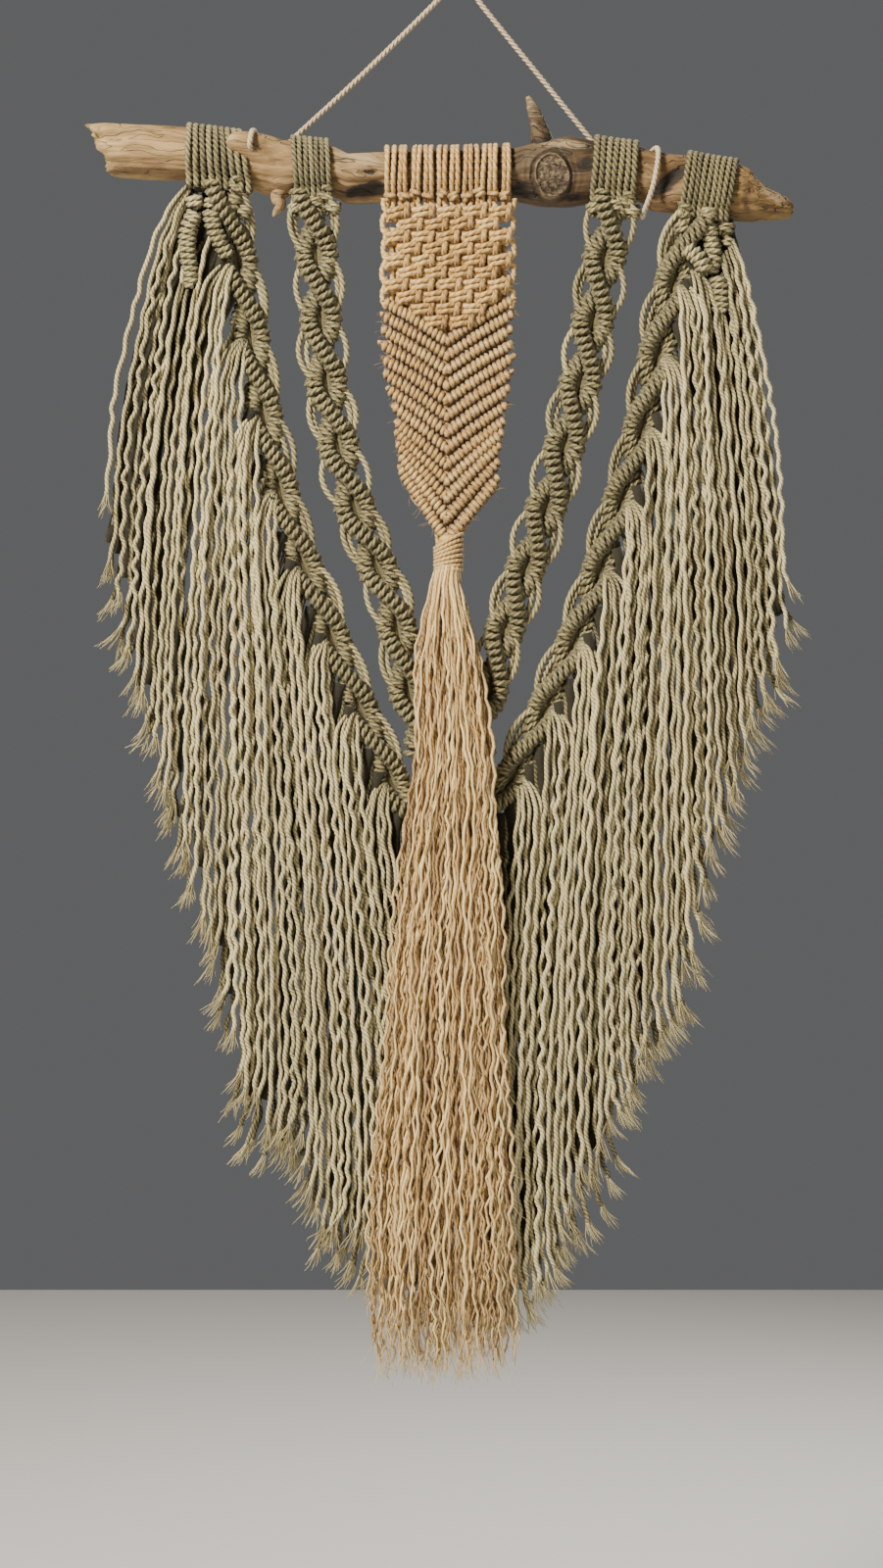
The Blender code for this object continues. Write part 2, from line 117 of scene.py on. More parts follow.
def skinCords(paths, radius, facing, twist, sides=6, lobe=0.0, shade=0.5, ply=1.0):
    # Ring points stand round each path at radius (1 - lobe cos 3a); a lobed cord's ring goes
    # round once in every `twist` of length, so that its lobes wind like the plies.
    # The map holds (length / twist, a / 2 pi), so 3 (v - u) counts the plies on either kind.
    paths = paths if paths.ndim == 3 else paths[None]
    count, steps = paths.shape[:2]
    tangent = unit(np.gradient(paths, axis=1))
    side = unit(np.cross(tangent, np.broadcast_to(facing, paths.shape)))
    front = np.cross(side, tangent)
    lap = (runAlong(paths) / twist)[..., None]
    share = np.arange(sides) / sides
    around = share + (lap if lobe else 0 * lap)
    width = np.broadcast_to(radius, (count, steps))[..., None]
    width = (width * (1 - lobe * np.cos(2 * math.pi * 3 * share)))[..., None]
    angle = 2 * math.pi * around[..., None]
    rings = paths[:, :, None] + width * (np.cos(angle) * side[:, :, None]
                                         + np.sin(angle) * front[:, :, None])
    shade = np.asarray(shade, float)     # one for all, one a cord, or one a point along each cord
    shade = np.broadcast_to(shade if shade.ndim == 2 else shade.reshape(-1, 1), (count, steps))
    grid = np.stack(np.broadcast_arrays(lap, around), axis=-1)
    return ringSurface(rings, grid, np.repeat(shade, sides), ply)


def layCords(lines, radius, twist, **look):
    # cords along lines in mm, with radius and twist in mm
    return skinCords(inFrame(lines), radius * mm, backward, twist * mm, **look)


def plainCords(lines, radius, shade, sides=6):
    # thick cords without plies, for what lies behind the knots
    return layCords(lines, radius, 20, sides=sides, shade=shade, ply=0.0)


def addObject(name, data, location=(0, 0, 0), rotation=(0, 0, 0)):
    # location in metres, rotation in radians
    item = bpy.data.objects.new(name, data)
    item.location, item.rotation_euler = location, rotation
    bpy.context.scene.collection.objects.link(item)
    return item


def layMesh(name, node, parts, material):
    # the parts' points, faces, maps and shades end to end in one mesh, which replaces the node
    offsets = np.cumsum([0] + [len(part["points"]) for part in parts])[:-1]
    corners, starts, maps = [], [], []
    total = 0
    for part, offset in zip(parts, offsets):
        for faces, mapping in ((part["quads"], part["quadMap"]), (part["caps"], part["capMap"])):
            corners.append((faces + offset).ravel())
            maps.append(mapping.reshape(-1, 2))
            starts.append(total + np.arange(len(faces)) * faces.shape[1])
            total += faces.size
    corners, starts, maps = (np.concatenate(rows) for rows in (corners, starts, maps))
    mesh = bpy.data.meshes.new(name)
    points = np.concatenate([part["points"] for part in parts])
    mesh.vertices.add(len(points))
    mesh.vertices.foreach_set("co", points.ravel())
    mesh.loops.add(len(corners))
    mesh.loops.foreach_set("vertex_index", corners.astype(np.int32))
    mesh.polygons.add(len(starts))
    mesh.polygons.foreach_set("loop_start", starts.astype(np.int32))
    mesh.update(calc_edges=True)
    mesh.uv_layers.new(name="lay").data.foreach_set("uv", maps.ravel())
    for own in ("shade", "ply"):
        values = [np.broadcast_to(part[own], len(part["points"])) for part in parts]
        mesh.attributes.new(own, "FLOAT", "POINT").data.foreach_set("value", np.concatenate(values))
    mesh.shade_smooth()
    mesh.materials.append(material)
    item = addObject(name, mesh)
    print(f"{name}: {len(corners) - 2 * len(starts)} triangles")
    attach(item, "root")
    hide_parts(node)
    return item


# Camera, light and floor

studio = {
    "frameMiddle": (-0.0139, -0.624),    # across and up, m
    "frameHeight": 1.2, "subjectDepth": -0.03, "distance": 2.4, "film": 36,
    "floorHeight": -1.5, "floorReach": 3, "floorColour": (0.74, 0.73, 0.71),
    "air": (0.80, 0.81, 0.82), "airStrength": 0.15,
    # name, place, what it is aimed at, size, power, colour
    "lights": [("key", (-1.5, -1.7, 1.1), (0, 0, -0.5), 0.6, 190, (1.0, 0.925, 0.79)),
               ("fill", (1.9, -1.6, -0.3), (0, 0, -0.6), 1.6, 9, (1.0, 0.97, 0.92)),
               ("rim", (0.8, 1.8, 0.6), (0, 0, -0.5), 1.2, 45, (1.0, 0.97, 0.93))],
}


def setStudio():
    # lens = film height * distance / frame height
    lens = bpy.data.cameras.new("camera")
    lens.sensor_width = studio["film"]
    lens.lens = studio["film"] * studio["distance"] / studio["frameHeight"]
    across, up = studio["frameMiddle"]
    bpy.context.scene.camera = addObject(
        "camera", lens, (across, studio["subjectDepth"] - studio["distance"], up),
        (math.pi / 2, 0, 0))

    for name, location, aim, size, power, colour in studio["lights"]:
        light = bpy.data.lights.new(name, "AREA")
        light.size, light.energy, light.color = size, power, colour
        reach = np.array(aim, float) - location
        yaw = math.atan2(reach[1], reach[0])
        pitch = math.atan2(reach[2], math.hypot(reach[0], reach[1]))
        addObject(name, light, location, (math.pi / 2 + pitch, 0, yaw - math.pi / 2))

    world = bpy.data.worlds.new("soft studio")
    world.use_nodes = True
    air = world.node_tree.nodes["Background"].inputs
    air["Color"].default_value = (*studio["air"], 1)
    air["Strength"].default_value = studio["airStrength"]
    bpy.context.scene.world = world

    mesh = bpy.data.meshes.new("floor")
    z, far = studio["floorHeight"], studio["floorReach"]
    mesh.from_pydata([(-far, -far, z), (far, -far, z), (far, far, z), (-far, far, z)], [],
                     [(0, 1, 2, 3)])
    paint = bpy.data.materials.new("pale floor")
    paint.use_nodes = True
    shader = paint.node_tree.nodes["Principled BSDF"].inputs
    shader["Base Color"].default_value = (*studio["floorColour"], 1)
    shader["Roughness"].default_value = 0.9
    mesh.materials.append(paint)
    addObject("floor", mesh)


setStudio()
print("studio set")


# Shader maths: a Value wraps a socket, and an expression on values adds its Math nodes

def operator(operation, swapped=False):
    def apply(value, other):
        return value.finish.math(operation, *((other, value) if swapped else (value, other)))
    return apply


class Value:
    def __init__(self, finish, socket):
        self.finish, self.socket = finish, socket

    def math(self, operation, *others):
        return self.finish.math(operation, self, *others)

    __add__ = __radd__ = operator("ADD")
    __mul__ = __rmul__ = operator("MULTIPLY")
    __sub__, __rsub__ = operator("SUBTRACT"), operator("SUBTRACT", swapped=True)
    __truediv__, __pow__ = operator("DIVIDE"), operator("POWER")


class Finish:
    # a material under way; `add` makes any node from its type, settings and socket values
    def __init__(self, name, **fixed):
        self.material = bpy.data.materials.new(name)
        self.material.use_nodes = True
        self.tree = self.material.node_tree
        self.shader = self.tree.nodes["Principled BSDF"]
        for socket, value in fixed.items():
            self.shader.inputs[socket.replace("_", " ")].default_value = value

    def add(self, kind, settings, sockets, output=0):
        node = self.tree.nodes.new(kind)
        for key, value in settings.items():
            setattr(node, key, value)
        for key, value in sockets.items():
            if isinstance(value, Value):
                self.tree.links.new(value.socket, node.inputs[key])
            elif isinstance(value, tuple) and len(node.inputs[key].default_value) == 4:
                node.inputs[key].default_value = (*value, 1)
            else:
                node.inputs[key].default_value = value
        return Value(self, node.outputs[output])

    def math(self, operation, *values):
        return self.add("ShaderNodeMath", {"operation": operation}, dict(enumerate(values)))

    def point(self):
        return self.add("ShaderNodeTexCoord", {}, {}, "Object")

    def own(self, name):
        return self.add("ShaderNodeAttribute", {"attribute_name": name}, {}, "Fac")

    def xyz(self, vector):
        node = self.add("ShaderNodeSeparateXYZ", {}, {0: vector}).socket.node
        return [Value(self, output) for output in node.outputs]

    def lay(self):
        return self.xyz(self.add("ShaderNodeUVMap", {"uv_map": "lay"}, {}))[:2]

    def vector(self, x, y, z):
        return self.add("ShaderNodeCombineXYZ", {}, {0: x, 1: y, 2: z})

    def vectorMath(self, operation, sockets, output=0):
        return self.add("ShaderNodeVectorMath", {"operation": operation}, sockets, output)

    def noise(self, vector, scale, detail=3.0, rough=0.55, twist=0.0):
        return self.add("ShaderNodeTexNoise", {}, {
            "Vector": vector, "Scale": scale, "Detail": detail, "Roughness": rough,
            "Distortion": twist}, "Fac")

    def ramp(self, factor, *stops):
        value = self.add("ShaderNodeValToRGB", {}, {0: factor})
        elements = value.socket.node.color_ramp.elements
        while len(elements) < len(stops):
            elements.new(0.5)
        for element, (position, colour) in zip(elements, stops):
            element.position, element.color = position, (*colour, 1)
        return value

    def clip(self, value, low, high, toLow=0.0, toHigh=1.0):
        return self.add("ShaderNodeMapRange", {}, {
            0: value, 1: low, 2: high, 3: toLow, 4: toHigh})

    def mix(self, factor, first, second):
        return self.add("ShaderNodeMix", {"data_type": "RGBA"}, {0: factor, 6: first, 7: second}, 2)

    def layers(self, colour, *coats):
        for factor, coat in coats:
            colour = self.mix(factor, colour, coat)
        return colour

    def bump(self, height, distance):
        return self.add("ShaderNodeBump", {}, {"Height": height, "Distance": distance})

    def wire(self, **sockets):
        for name, value in sockets.items():
            self.tree.links.new(value.socket, self.shader.inputs[name.replace("_", " ")])
        return self.material


def cordFinish(name, deep, body, high, fleck, plies, plyDepth, fibreDepth, twistLength, sheen):
    # Plies: p = plies (v - u); their height is sqrt(0.5 - 0.5 cos 2 pi p), deepest between two,
    # where the colour is painted darker as shade.
    # Fibres run along a ply: noise on (p, length) drawn out lengthwise.
    f = Finish(name, Roughness=0.9, Sheen_Weight=sheen, Sheen_Roughness=0.4)
    u, v = f.lay()
    turns = (v - u) * plies
    ply = (0.5 - 0.5 * (turns * (2 * math.pi)).math("COSINE")).math("MAXIMUM", 0.0)
    plied, own = f.own("ply"), f.own("shade")
    height = ply ** 0.5 * plied + (1 - plied) * 0.85
    drawn = f.vector(turns * 2.6 + own * 37.0, u * (twistLength / mm * 0.22), own * 91.0)
    fibre = f.noise(drawn, 2.4, 4.0, 0.65, 0.6)
    point = f.point()
    patch = f.noise(point, 9.0, 2.0)
    grain = f.noise(point, 900.0, 2.0, 0.6)
    # painted shade on each cord's flanks, where it turns away from the front and meets its
    # neighbours
    flankShade = 1 - (v * (2 * math.pi)).math("SINE").math("ABSOLUTE")
    tone = (height * 0.36 + fibre * 0.52 + own * 0.46 + patch * 0.24
            - flankShade ** 2 * plied * 0.40 - 0.25)
    colour = f.ramp(tone, (0.0, deep), (0.42, body), (0.95, high))
    colour = f.mix(f.clip(fibre + grain * 0.5, 0.92, 1.12, 0.0, 0.55), colour, fleck)
    normal = f.bump(height * plyDepth + fibre * fibreDepth + grain * (0.3 * fibreDepth), 1.0 * mm)
    return f.wire(Base_Color=colour, Normal=normal, Roughness=f.clip(fibre, 0.3, 0.7, 0.94, 0.80))


sageCotton = cordFinish("sage cotton", (0.014, 0.011, 0.003), (0.225, 0.188, 0.079),
                        (0.740, 0.640, 0.360), (0.82, 0.73, 0.46), 3, 0.75, 0.36, 0.014, 0.20)
juteCord = cordFinish("jute", (0.10, 0.038, 0.007), (0.500, 0.290, 0.085),
                      (0.880, 0.640, 0.290), (0.94, 0.77, 0.45), 2, 0.40, 0.60, 0.012, 0.30)
juteStrands = cordFinish("jute strands", (0.09, 0.040, 0.008), (0.560, 0.340, 0.110),
                         (1.000, 0.770, 0.370), (1.00, 0.88, 0.56), 2, 0.35, 0.65, 0.012, 0.30)
paleTwine = cordFinish("pale twine", (0.19, 0.13, 0.065), (0.48, 0.37, 0.22),
                       (0.74, 0.62, 0.44), (0.82, 0.71, 0.55), 3, 0.6, 0.35, 0.013, 0.3)


wood = {
    "knot": (70.0, 160.5), "knotHalf": (12.4, 15.3),     # middle and half size of the knot, mm
    # the wood's colour along the stick
    "zones": [(0.0, (0.39, 0.262, 0.112)), (0.20, (0.36, 0.228, 0.095)),
              (0.42, (0.33, 0.222, 0.103)), (0.56, (0.16, 0.108, 0.052)),
              (0.72, (0.042, 0.027, 0.011)), (0.79, (0.24, 0.142, 0.052)),
              (1.0, (0.28, 0.175, 0.060))],
}


def woodFinish():
    # Grain is noise drawn out along the stick. The knot is an oval, e = 1 on its rim: a raised rim
    # painted lighter as lit, a groove at e = 1.2 painted dark as shade, and blotches inside. The
    # mesh's shade holds stains, painted shade in hollows and under the stick, and painted light on
    # top ridges: 0.5 is clean.
    f = Finish("driftwood", Roughness=0.8)
    point = f.point()
    x, y, z = f.xyz(point)
    warp = f.noise(point, 14.0, 3.0)
    drawn = f.vector(x * 7.0, y * 60.0 + warp * 2.2, z * 60.0 + warp * 2.2)
    grain = f.noise(drawn, 1.6, 6.0, 0.62, 0.4)
    fine = f.noise(f.vector(x * 16.0, y * 300.0, z * 300.0 + warp * 6.0), 1.0, 4.0, 0.6)
    patch = f.noise(f.vector(x * 2.2, y * 6.0, z * 6.0), 2.6, 3.0, 0.6, 0.6)
    zone = f.ramp(f.clip(x, -0.28, 0.26), *wood["zones"])
    (across, drop), (wide, tall) = wood["knot"], wood["knotHalf"]
    oval = f.vector((x - across * mm) / (wide * mm), (z + drop * mm) / (tall * mm), 0.0)
    e = f.vectorMath("LENGTH", {0: oval}, "Value") + (f.noise(point, 55.0, 2.0) - 0.5) * 0.55
    front = f.clip(y, -0.026, -0.034)
    rim = f.clip((e - 1.0).math("ABSOLUTE"), 0.11, 0.0) * front
    groove = f.clip((e - 1.22).math("ABSOLUTE"), 0.14, 0.0) * front
    inside = f.clip(e, 0.98, 0.86) * front
    blotch = f.noise(point, 330.0, 3.0, 0.6, 0.5)
    rings = ((e * 15.0 + warp * 6.0).math("SINE") * 0.5 + 0.5) * f.clip(e, 2.1, 1.3) * front
    stainAndShade = f.own("shade") + (f.noise(drawn, 3.4, 5.0, 0.75, 1.2) - 0.5) * 1.1
    split = f.noise(f.vector(x * 9.0, y * 70.0, z * 70.0 + warp * 3.0), 1.3, 2.0) - 0.5
    crack = f.clip(split.math("ABSOLUTE"), 0.0, 0.016, 1.0, 0.0)
    darker, lighter = (f.vectorMath("MULTIPLY", {0: zone, 1: by})
                       for by in ((0.34, 0.29, 0.25), (1.5, 1.55, 1.7)))
    colour = f.layers(
        zone,
        (f.clip(grain, 0.34, 0.62, 0.85, 0.0), darker),
        (f.clip(fine, 0.52, 0.72, 0.0, 0.55), lighter),
        (f.clip(patch, 0.57, 0.68, 0.0, 0.70), (0.095, 0.066, 0.040)),
        # painted light on the top ridges, where light falls
        (f.clip(stainAndShade, 0.62, 0.85, 0.0, 0.75), (0.42, 0.31, 0.18)),
        # real stains, and painted shade in the hollows and under the stick
        (f.clip(stainAndShade, 0.40, 0.22, 0.0, 0.60), (0.13, 0.070, 0.030)),
        # painted shadow, near black, deep in the hollows
        (f.clip(stainAndShade, 0.16, -0.06, 0.0, 0.95), (0.013, 0.009, 0.006)),
        (inside * 0.9, f.mix(f.clip(blotch, 0.44, 0.60), (0.035, 0.023, 0.012),
                             (0.25, 0.18, 0.105))),
        (rings * 0.45, (0.045, 0.030, 0.016)),
        # painted shade in the knot's groove
        (groove * 0.85, (0.022, 0.015, 0.008)),
        # painted light on the knot's raised rim
        (rim * f.clip(blotch, 0.40, 0.58, 0.25, 0.85), (0.30, 0.21, 0.115)),
        (crack * f.clip(patch, 0.40, 0.55), (0.045, 0.030, 0.020)))
    height = (grain * 0.9 + fine * 0.5 - crack * 0.9 + rim * 1.3 - groove * 1.2 - rings * 0.4
              + inside * (blotch - 1.0))
    return f.wire(Base_Color=colour, Normal=f.bump(height, 1.1 * mm),
                  Roughness=f.clip(grain, 0.3, 0.7, 0.88, 0.70))


driftwoodGrey = woodFinish()
print("finishes ready")


# Hanging cord and its ties

hanging = {
    "width": 4.0, "twist": 13.0, "lobe": 0.20, "steps": 300,
    "route": [
        (-152.8, 150.8, -1.5), (-143, 141.3, -0.8), (-134, 129, 0), (-80, 79, 0), (-26, 26, 0),
        (-9, 8.2, 0), (-3, 2.4, 0), (0, 1.2, 0), (3, 2.4, 0), (9, 9, 0), (20, 24, 0), (60, 73, 1),
        (106, 129, 2.6), (126, 152, 4), (138, 160, 3.6), (146.4, 163.2, -1.2),
    ],
}


def makeHangingCord():
    route = inFrame(smoothLine(hanging["route"], hanging["steps"]))
    cord = skinCords(route, 0.5 * hanging["width"] * mm, backward, hanging["twist"] * mm,
                     sides=9, lobe=hanging["lobe"])
    piece = layMesh("hanging_cord", "hanging_cord", [cord], paleTwine)
    length = float(runAlong(route)[-1])
    print(f"hanging cord {length:.3f} m")
    return piece, route, length


hangingCord, hangingRoute, hangingLength = makeHangingCord()


# Driftwood

driftwood = {
    "depth": -24.0,
    # along the stick: across, drop, half height, half depth
    "sections": [
        (-281, 138, 19, 15), (-270, 138, 20, 18), (-240, 140, 20, 19), (-209, 142, 19, 19),
        (-165, 147, 19, 19), (-150, 150, 21, 19), (-131, 152, 21, 19), (-98, 153, 19, 19),
        (-86, 159, 19, 19), (-58, 158, 19, 19), (-7, 158, 19, 19), (41, 157, 19, 19),
        (61, 156, 24, 20), (83, 155, 26, 20), (102, 155, 23, 19), (120, 155, 20, 19),
        (139, 157, 20, 19), (147, 162, 22, 19), (172, 165, 22, 19), (193, 168, 21, 19),
        (215, 171, 21, 18), (224, 174, 18, 16), (232, 177.5, 13.5, 13), (240, 180, 10.6, 11),
        (247, 181.3, 8.6, 9), (252, 182.2, 6.6, 7), (254.6, 182.6, 4.4, 5), (256, 183, 1.6, 2)],
    "rings": 214, "around": 76,
    # limbs: (across, drop, depth, half width, shade) along each; the broken twig, the rounded end
    # of the branch over the first heading, the flake below it and two at the right end
    "limbs": [
        # the twig's shade falls low at its base: painted shadow in the gap under it
        [(66, 144, -24, 10.5, -0.3), (62.5, 129, -26.5, 8.0, 0.0), (60.5, 122, -27.5, 6.6, 0.5),
         (58, 113, -28.5, 5.4, 0.6), (55, 104, -29.5, 3.8, 0.7), (52, 97.8, -30, 1.5, 0.7)],
        [(-176.3, 134.4, -49.5, 1.5, 0.8), (-174.3, 135, -48.8, 5.0, 0.75),
         (-169, 136.4, -46.5, 8.2, 0.6), (-160, 139.2, -42, 11.0, 0.5),
         (-148, 144.6, -35.5, 14.2, 0.5), (-134, 150, -30, 17.0, 0.45),
         (-118, 152, -27, 17.5, 0.4)],
        [(-133, 156, -29, 11, 0.5), (-135, 167, -30, 8.0, 0.5), (-139, 175, -31, 5.6, 0.6),
         (-137.5, 182, -32, 4.4, 0.6), (-141, 187, -33, 2.2, 0.7),
         (-142.5, 190.5, -33.5, 0.8, 0.7)],
        [(206, 160, -33, 5, 0.6), (217, 162.5, -34, 5.5, 0.6), (225, 166, -33, 4.0, 0.7),
         (230.3, 169, -31.5, 1.2, 0.75)],
        [(204, 154, -28, 4, 0.5), (214, 155, -29, 4.2, 0.55), (220, 155.6, -29, 3.0, 0.6),
         (224.5, 156.5, -28.5, 1.0, 0.6)],
    ],
    # lumps raised on the stick: across, angle, how far along, how far round, height
    "lumps": [(-134, 3.9, 12, 0.5, 4.0), (-152, 2.9, 16, 0.6, 2.5), (88, 2.25, 16, 0.45, 3.0),
              (70, 3.2, 14, 0.6, 2.5), (30, 1.6, 9, 0.6, 2.0), (-32, 4.3, 18, 0.5, -2.0),
              (205, 2.6, 14, 0.6, 1.8), (166, 4.0, 9, 0.4, 2.5), (-95, 4.0, 8, 0.5, -2.5)],
    # stains and painted shade seen from the front: across, drop, half length, half width, tilt,
    # shade added; dark ones are hollows too, painted darker as shade falls in them and under the
    # stick, and some light ones are painted light where light falls on the top ridges
    "stainsAndShade": [(160, 164, 20, 6.5, -45, -1.0), (-73, 174, 19, 7.5, -17, -0.95),
               (-69, 157.5, 7, 2.8, 5, -0.7), (97, 151, 18, 8.5, -12, -0.55),
               (49, 173, 11, 10, 20, -0.7), (78, 180, 34, 5.5, 0, -0.55),
               (92, 170, 12, 7, -30, -0.3),
               (-246, 154, 32, 5, 3, -0.30), (-147, 167, 16, 4.5, 30, -0.12),
               (222, 170, 3.2, 8, 25, -0.5), (220, 184, 3.0, 6, -12, -0.4),
               (240, 186, 12, 3, 8, -0.35), (84, 138, 24, 4, 8, 0.35),
               (-78, 146, 22, 9, 3, 0.25), (143, 160, 8, 16, 10, 0.15),
               (240, 174, 14, 4, 25, 0.35)],
    "hollow": 4.5, "grains": 26,
    # added past each end: share of the end ring, pushed in by
    "endRings": [(0.86, 1.5), (0.66, 4.0), (0.42, 2.6), (0.18, 5.0), (0.03, 3.5)],
}


def stickPoint(across, angle, out=0.0):
    # centre + (cos a halfDepth, sin a halfHeight) times lumps, grown outward by `out`
    across, angle = np.broadcast_arrays(np.asarray(across, float), angle)
    drop, halfHeight, halfDepth = tableAt(across, driftwood["sections"])
    lumps = 1 + 0.03 * np.sin(3 * angle + across / 60) + 0.015 * np.sin(5 * angle - across / 50)
    up = np.sin(angle) * (halfHeight * lumps + out)
    back = np.cos(angle) * (halfDepth * lumps + out)
    return np.stack((across, drop - up, driftwood["depth"] + back), axis=-1)


def woodGrid():
    # r = section + lumps h exp(-((x-x0)/w)^2 - ((a-a0)/b)^2) + grain sin sums along the stick
    # stain and painted shade = amount exp(-(u/length)^2.6 - (v/width)^2.6), u and v turned by its
    # tilt
    rings, around = driftwood["rings"], driftwood["around"]
    tip = driftwood["sections"][0][0]
    x = np.linspace(tip, driftwood["sections"][-1][0], rings)[:, None]
    t = np.arange(around)[None] / around
    a = 2 * math.pi * t + 0.45 * np.sin(2 * math.pi * t)      # closer together at the front
    rng = np.random.default_rng(11)
    out = np.zeros((rings, around))
    for across, angle, along, about, height in driftwood["lumps"]:
        turn = (a - angle + math.pi) % (2 * math.pi) - math.pi
        out += height * np.exp(-((x - across) / along) ** 2 - (turn / about) ** 2)
    for _ in range(driftwood["grains"]):
        waves = rng.integers(3, 34)
        out += (0.75 / waves ** 0.45) * rng.uniform(0.3, 1) * np.sin(
            waves * a + rng.uniform(0, 7) + x / rng.uniform(18, 70)
            + 0.8 * np.sin(x / rng.uniform(25, 60) + rng.uniform(0, 7)))
    skin = stickPoint(x, a)
    front = np.clip(-2 * np.cos(a), 0, 1)
    shade = np.zeros((rings, around))
    for across, drop, length, width, tilt, amount in driftwood["stainsAndShade"]:
        turn = math.radians(tilt)
        right, down = skin[..., 0] - across, skin[..., 1] - drop
        u = right * math.cos(turn) + down * math.sin(turn)
        v = down * math.cos(turn) - right * math.sin(turn)
        shade += front * amount * np.exp(-abs(u / length) ** 2.6 - abs(v / width) ** 2.6)
    # the knot: a rim at e = 1 and a groove at e = 1.3
    e = np.hypot(*np.moveaxis((skin[..., :2] - wood["knot"]) / wood["knotHalf"], -1, 0))
    out += front * (1.2 * np.exp(-((e - 1) / 0.16) ** 2) - 1.0 * np.exp(-((e - 1.3) / 0.16) ** 2))
    out += driftwood["hollow"] * np.clip(shade, -1, 0) * np.clip(abs(e - 0.5), 0, 1)
    skin = stickPoint(x, a, out)
    # splintered left end: it slants back downward, with a notch and small teeth
    end = 5.0 - 9.0 * np.sin(a) + 1.6 * np.sin(5 * a + 2.0) + 1.1 * np.sin(13 * a) + 5.5 * np.exp(
        -((a - 2.75) / 0.13) ** 2)
    skin[..., 0] += np.clip(1 - (x - tip) / 22, 0, 1) ** 1.2 * end
    return skin, 0.5 + shade


def closedGrid(skin, shade):
    # a ring-by-ring surface in mm, with the map's (u, v) as the share along and round it
    rings, around = skin.shape[:2]
    u, v = np.arange(rings)[:, None] / rings, np.arange(around)[None] / around
    grid = np.stack(np.broadcast_arrays(u, v), axis=-1)
    return ringSurface(inFrame(skin)[None], grid[None], shade, flipped=True)


def limb(table, steps=26, sides=20):
    # a tapered round from a table, a little knobbly: half (1 + 0.09 sin(3a + ..) + 0.05 sin 7a)
    line = smoothLine(table, steps)
    a = np.arange(sides)[None] * 2 * math.pi / sides
    reach = np.maximum(line[:, 3:4], 0.4) * (
        1 + 0.09 * np.sin(3 * a + line[:, 1:2] / 7) + 0.05 * np.sin(7 * a + line[:, :1] / 9))
    tangent = unit(np.gradient(line[:, :3], axis=0))
    side = unit(np.cross(tangent, (0, 0, 1.0)))
    front = np.cross(side, tangent)
    skin = (line[:, None, :3] + (reach * np.cos(a))[..., None] * side[:, None]
            + (reach * np.sin(a))[..., None] * front[:, None] * 0.85)
    return closedGrid(skin, np.repeat(line[:, 4], sides))


def capRings(skin):
    # rings added past both ends: ring = middle + share (end ring - middle), pushed in
    before, after = [], []
    for end, row, inward in ((before, skin[0], 1), (after, skin[-1], -0.1)):
        middle = row.mean(axis=0)
        for share, push in driftwood["endRings"]:
            ring = middle + share * (row - middle)
            ring[:, 0] += inward * push
            end.append(ring)
    return np.concatenate((np.array(before[::-1]), skin, np.array(after)))


def makeDriftwood():
    skin, shade = woodGrid()
    added = len(driftwood["endRings"])
    shade = np.pad(shade, ((added, added), (0, 0)), mode="edge").ravel()
    parts = [closedGrid(capRings(skin), shade)] + [limb(table) for table in driftwood["limbs"]]
    layMesh("driftwood_stick", "driftwood", parts, driftwoodGrey)


makeDriftwood()


tying = {"steps": 96, "twist": 12, "lobe": 0.18, "facing": (0.3, 0.9, 0.3)}
ties = {
    # one goes over the stick and is tucked in under the branch end
    "hanging_cord_wraps": {"node": "hanging_cord_tie_left", "width": 4.2, "shade": 0.4, "route": [
        (-153, 150, -1.5), (-154.5, 137, -3.0), (-155.5, 128.5, -10), (-156.5, 125.2, -20),
        (-157.2, 124.9, -32), (-157.8, 126.8, -42), (-158.3, 130.5, -49.5), (-158.8, 135.5, -54.0),
        (-158.9, 139.5, -53.5), (-158.0, 142.5, -49.0)]},
    # the other comes from behind the third heading, over the stick and slants down its front
    "hanging_cord_loop": {"node": "hanging_cord_tie_right", "width": 4.0, "shade": 0.75, "route": [
        (146.4, 163.2, -1.2), (145, 147, -3.5), (146.5, 139.5, -13), (149.5, 137.0, -24),
        (151.2, 139.5, -36), (150.8, 148, -44.5), (149.0, 160, -47.0), (146.2, 172, -46.2),
        (142.8, 182, -41.5), (140.5, 188, -33), (140.5, 188.5, -22), (142.5, 184, -8)]},
}


def makeTie(name):
    spec = ties[name]
    path = inFrame(smoothLine(spec["route"], tying["steps"]))
    tie = skinCords(path, 0.5 * spec["width"] * mm, tying["facing"], tying["twist"] * mm, sides=9,
                    lobe=tying["lobe"], shade=spec["shade"])
    return layMesh(name, spec["node"], [tie], paleTwine)


tuple(hangingRoute[0])
[makeTie(name) for name in ties]
print("stick and hanging cord made")

# Knotted bands

cord = {"width": 5.0, "twist": 15.0, "lobe": 0.09}

# where the cords on the stick meet below its middle, and the bundle behind that, painted dark as
# the shade under the stick
underStick = {"drop": 23.0, "front": 15.0,
              "bundleDrop": 22.0, "bundleFront": 9.0, "bundleHalf": 6.5}
# cords on the stick: left and right ends at the top, then at the bottom
usual = {"thick": 0.52, "pairing": 0, "stray": 0.2, "shades": (-0.35, 0.15)}
headings = {
    "left_fringe_band": {**usual, "top": (-209, -167), "bottom": (-209, -158), "count": 9},
    "left_band": {**usual, "top": (-130, -100), "bottom": (-126, -97), "count": 7},
    "right_band": {**usual, "top": (104, 138), "bottom": (99, 134), "count": 7},
    "right_fringe_band": {**usual, "top": (175, 215), "bottom": (167.5, 205.5), "count": 9},
    "centre_panel": {"top": (-58, 41), "bottom": (-58, 40), "count": 20, "thick": 0.43,
                     "pairing": 0.10, "stray": 0.9, "shades": (0.1, 0.6)},
}

